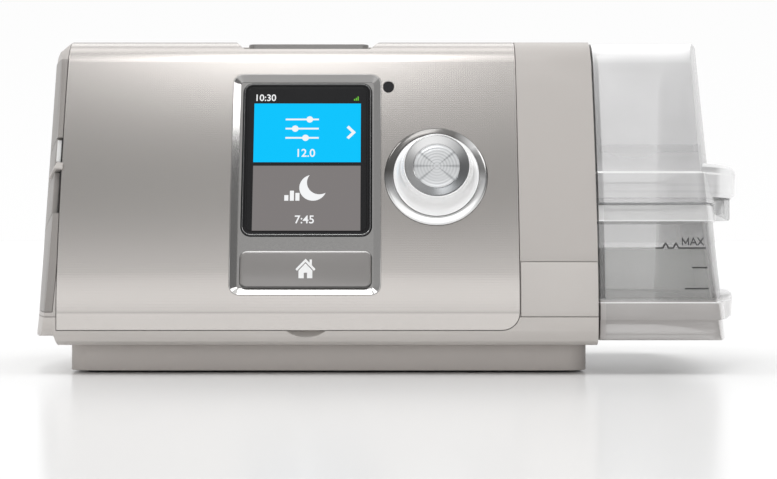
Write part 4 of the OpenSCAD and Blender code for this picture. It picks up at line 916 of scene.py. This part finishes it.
# The start button in the top: a plain grey key, moulded like the home button, with the usual
# power sign printed on it.
recast("start_button", button_grey, edge=0.0004, steps=3)
start_seat = Matrix.Translation((-0.0303, -0.0237546, 0.115705)) @ Matrix.Scale(MM, 4)
ring_sign = cut(disc(2.6, steps=48), disc(2.05, steps=48, thick=0.4))
cut(ring_sign, tile(1.5, 3, 0, 1.8, thick=0.4))
joined([ring_sign, tile(0.55, 2.4, 0, 1.9)], start_seat, "power_sign", "start_key",
       sign_white)


# Behind the face and on the floor of the case: green circuit boards, dark sockets and
# switches, a blue card and the display.
board = Finish("board_green", Roughness=0.35, Coat_Weight=0.3)
trace = board.node("TexVoronoi", {"feature": "DISTANCE_TO_EDGE", "distance": "CHEBYCHEV"},
                   {"Vector": board.spot, "Scale": 260.0}, out="Distance")
board_green = board.shade(
    Base_Color=board.mix(trace < 0.05, (0.012, 0.090, 0.040), (0.030, 0.170, 0.075)),
).material
finished(board_green, "ui_board", "main_board", "start_board")
socket_black = moulded("socket_black", (0.028, 0.028, 0.030), gloss=0.45)
finished(socket_black, "dial_encoder", "home_switch", "start_switch", "accessory_socket",
         "sd_socket")
card_blue = moulded("card_blue", (0.040, 0.090, 0.260), gloss=0.4)
finished(card_blue, "sd_card")
finished(glow("display_glow", (0.0, 0.30, 0.50), 0.4), "lcd_module")


# The air path: grey housings and ducts, foam in the sound box, the filter, and a soft mount
# and seals.
inner_grey = moulded("inner_grey", (0.230, 0.225, 0.222), gloss=0.5)
finished(inner_grey, "muffler_box", "blower_lower_housing", "blower_upper_housing",
         "blower_duct", "outlet_duct", "impeller")
recast("bay_liner", inner_grey, edge=0.0003)
open_cell = Finish("foam", Roughness=0.95)
cells = open_cell.node("TexVoronoi", {"feature": "SMOOTH_F1"},
                       {"Vector": open_cell.spot, "Scale": 900.0}, out="Distance")
foam = open_cell.shade(
    Base_Color=open_cell.mix(cells, (0.040, 0.040, 0.042), (0.100, 0.100, 0.104)),
    Normal=open_cell.relief(cells, 0.0003),
).material
finished(foam, "muffler_foam")
felt = Finish("filter_white", Roughness=0.95)
fibre = felt.noise(1800, 6, 0.7)
filter_white = felt.shade(
    Base_Color=felt.mix(fibre, (0.62, 0.64, 0.66), (0.84, 0.85, 0.86)),
    Normal=felt.relief(fibre, 0.0002),
).material
finished(filter_white, "filter_pad")
seal_rubber = moulded("seal_rubber", (0.060, 0.060, 0.064), gloss=0.6)
finished(seal_rubber, "blower_mount", "bay_port_seals", "tub_plate_seal")
stator_metal = metal("stator_metal", (0.34, 0.32, 0.30), 0.35, stretch=(0.2, 0.2, 4))
finished(stator_metal, "blower_stator", "rotor_magnet")


# The rear wall: the air outlet and the louvred filter cover in the grey of the case, and the
# black power inlet with its cord clip; all are mouldings, and cover and clip swing on pins.
recast("outlet_connector", case_grey, edge=0.0003)
recast("filter_cover", case_grey, edge=0.00025, flat=0)
recast("power_inlet", socket_black, edge=0.00025)
recast("cord_retention_clip", socket_black, edge=0.00025)


# The heater plate stands on its springs in the floor of the bay, and a second plate is sealed
# into the floor of the tub; both are rolled metal.
plate_metal = metal("plate_metal", (0.55, 0.56, 0.57), 0.28, stretch=(0.08, 1, 1))
finished(plate_metal, "heater_plate", "tub_heat_plate")


# The tub: a clear base and a frosted lid that close on a soft seal, with a clear hook over
# the front of the parting. Each wall lets part of what is behind it through, more where it is
# looked at square on than along its surface.
def clear(name, colour, veil, edge, gloss, foot=0.0, highlight_rims=(), shade_bands=(), grip_highlight=0.0, **constants):
    """Clear plastic that hides `veil` of what is behind it square on, and `edge` along it.

    What faces up, and the heights listed in rims, are painted white by a share, a painted
    highlight, as are the tips of the grips by a share of their own; the heights listed in
    bands are painted shade. `foot` hides more behind the foot.
    """
    finish = Finish(name, **constants)
    cloud = finish.noise(28, 2)
    facing = finish.node("LayerWeight", None, {"Blend": 0.35}, out="Facing")
    rise = finish.part("Z")
    upward = finish.facing_up()
    # Painted highlight: white where the surface faces up, less on flat tops.
    lit = upward.between(0.35, 0.85)
    lit = lit * (1 - upward.between(0.93, 0.99) * 0.6)
    for low, high, white in highlight_rims:
        lit = lit.math("MAXIMUM", (rise > low) * (rise < high) * white)
    # Painted shade: the part inside the bay is darker, and hides more.
    side = finish.part("X") < bay_side
    tip = finish.part("X").between(*grip_tips)
    lit = lit.math("MAXIMUM", tip * grip_highlight)
    below = rise.between(*tub_foot)
    body = finish.mix(cloud, tint(colour, 0.84), tint(colour, 1.12))
    body = finish.mix(side, body, tint(colour, 0.5))
    # Painted shade: darker where the surface is seen along it.
    dark = facing.between(0.72, 1.0) * 0.5
    for low, high, share in shade_bands:
        dark = dark.math("MAXIMUM", (rise > low) * (rise < high) * share)
    dark_body = finish.mix(dark, body, tint(colour, 0.45))
    body = finish.mix(below * 0.7, dark_body, (0.60, 0.57, 0.555))
    hides = veil + facing * (edge - veil) + lit * 0.4 + below * foot + side * 0.25
    return finish.shade(Base_Color=finish.mix(lit, body, (0.95, 0.95, 0.95)),
                        Roughness=gloss + cloud * 0.04, Alpha=hides).material


bay_side, grip_tips, tub_foot = 0.0717, (0.1125, 0.1155), (0.026, 0.0245)
# The rims listed here are painted highlights, and the bands painted shade.
tub_clear = clear("tub_clear", (0.48, 0.475, 0.47), 0.20, 0.75, 0.06, foot=0.42, grip_highlight=0.5,
                  highlight_rims=((0.0520, 0.0525, 1), (0.0525, 0.0575, 0.72), (0.0243, 0.0246, 1)),
                  shade_bands=((0.0440, 0.0515, 0.2),), Specular_IOR_Level=0.15)
tub_frost = clear("tub_frost", (0.80, 0.795, 0.80), 0.30, 0.85, 0.14, grip_highlight=0.85,
                  highlight_rims=((0.0685, 0.0692, 1), (0.0600, 0.0685, 0.14)),
                  shade_bands=((0.0698, 0.0762, 0.16), (0.0757, 0.0760, 0.4), (0.0762, 0.0785, 0.26),
                         (0.0640, 0.0650, 0.12), (0.0618, 0.0626, 0.15), (0.0596, 0.0602, 0.3)))
hook_clear = clear("hook_clear", (0.62, 0.62, 0.62), 0.14, 0.8, 0.05)
recast("tub_base", tub_clear, edge=0.0004)
recast("tub_lid", tub_frost, edge=0.0007, steps=3)
recast("tub_lid_latch", hook_clear, edge=0.0003)
lid_seal = moulded("lid_seal", (0.55, 0.56, 0.57), gloss=0.5)
finished(lid_seal, "tub_lid_seal")

# The water in the tub: it fills the chamber up to the mark, between the leaning front wall and
# the bulged end, whose barrel cuts it to shape.
chamber_low, level, chamber_in, chamber_rear = 25.75, 42.8, 71.75, 61.6
front_foot, front_top = -67.15, -64.05
chamber_long, chamber_deep, chamber_end_r = 60, 100, 198.1
bpy.ops.object.select_all(action="DESELECT")
bpy.ops.mesh.primitive_cube_add(size=1)
water = bpy.context.object
water.scale = (chamber_long, chamber_deep, level - chamber_low)
water.location = (chamber_in + chamber_long / 2, chamber_rear - chamber_deep / 2,
                  (level + chamber_low) / 2)
bpy.ops.object.transform_apply(location=True, rotation=True, scale=True)
for corner in water.data.vertices:
    if corner.co.y < 0:
        corner.co.y = front_foot if corner.co.z < 30 else front_top
bpy.ops.mesh.primitive_cylinder_add(vertices=200, radius=chamber_end_r, depth=330)
barrel = bpy.context.object
barrel.data.transform(
    Matrix.Translation((119.1, -10.0046, 10)) @ Matrix.Rotation(math.radians(-3), 4, "Y")
    @ Matrix.Rotation(math.radians(-17), 4, "X") @ Matrix.Translation((-200, 0, 85)))
modified(water, "BOOLEAN", operation="INTERSECT", object=barrel, solver="EXACT")
bpy.data.objects.remove(barrel)
modified(water, "BEVEL", width=1.2, segments=3, limit_method="ANGLE",
         angle_limit=math.radians(50))
bpy.ops.object.shade_smooth_by_angle(angle=math.radians(30))
water.matrix_world = Matrix.Scale(MM, 4)
# The water takes the clear finish, with its painted highlight where it faces up.
water_green = clear("water", (0.55, 0.56, 0.53), 0.36, 0.6, 0.03)
placed(water, "water", "tub", water_green)


# The marks printed on the front of the tub: the highest water level and two lower ones. The
# wall leans along two arcs, each with its middle, deep and up, and its radius.
ink = moulded("mark_ink", (0.035, 0.035, 0.036), gloss=0.5)
low_arc, face_arc, arcs_meet = (-10.7546, 22.0, 58.4), (290.771, -42.0912, 366.662), 12


def on_tub(x, z):
    """A place on the front wall of the tub's base, flat on its lean and a hair off it."""
    middle, high, radius = low_arc
    if math.asin((z - high) / radius) > math.radians(arcs_meet):
        middle, high, radius = face_arc
    lean = math.asin((z - high) / radius)
    deep = middle - radius * math.cos(lean)
    return (Matrix.Scale(MM, 4) @ Matrix.Translation((x, deep, z))
            @ Matrix.Rotation(math.pi / 2 - lean, 4, "X") @ Matrix.Translation((0, 0, 0.02)))


line_w, stroke_w = 0.5, 0.36
wave = [tile(2.6, line_w, -7.2, 0), tile(1.9, line_w, -3.25, 0), tile(9.1, line_w, 4.05, 0)]
for hump in (-5.0, -1.5):
    wave += [tile(2.3, line_w, hump - 0.5, 0.85, turn=60),
             tile(2.3, line_w, hump + 0.5, 0.85, turn=-60)]
joined(wave, on_tub(97.4, 42.9), "level_line", "tub", ink)
strokes = ((0, 0, 0, 2.45), (0, 2.45, 1.05, 0.5), (1.05, 0.5, 2.1, 2.45), (2.1, 2.45, 2.1, 0),
           (2.75, 0, 3.8, 2.45), (3.8, 2.45, 4.85, 0), (3.15, 0.8, 4.45, 0.8),
           (5.3, 0, 7.1, 2.45), (5.3, 2.45, 7.1, 0))
letters = [tile(math.dist((x0, y0), (x1, y1)) + 0.25, stroke_w, (x0 + x1) / 2, (y0 + y1) / 2,
                turn=math.degrees(math.atan2(y1 - y0, x1 - x0))) for x0, y0, x1, y1 in strokes]
joined(letters, on_tub(98.1, 43.9), "level_word", "tub", ink)
marks = (("level_mark_mid", 103.7, 36.3, 5.2), ("level_mark_low", 102.5, 29.2, 8.0))
for name, x, z, long in marks:
    joined([tile(long, line_w)], on_tub(x, z), name, "tub", ink)
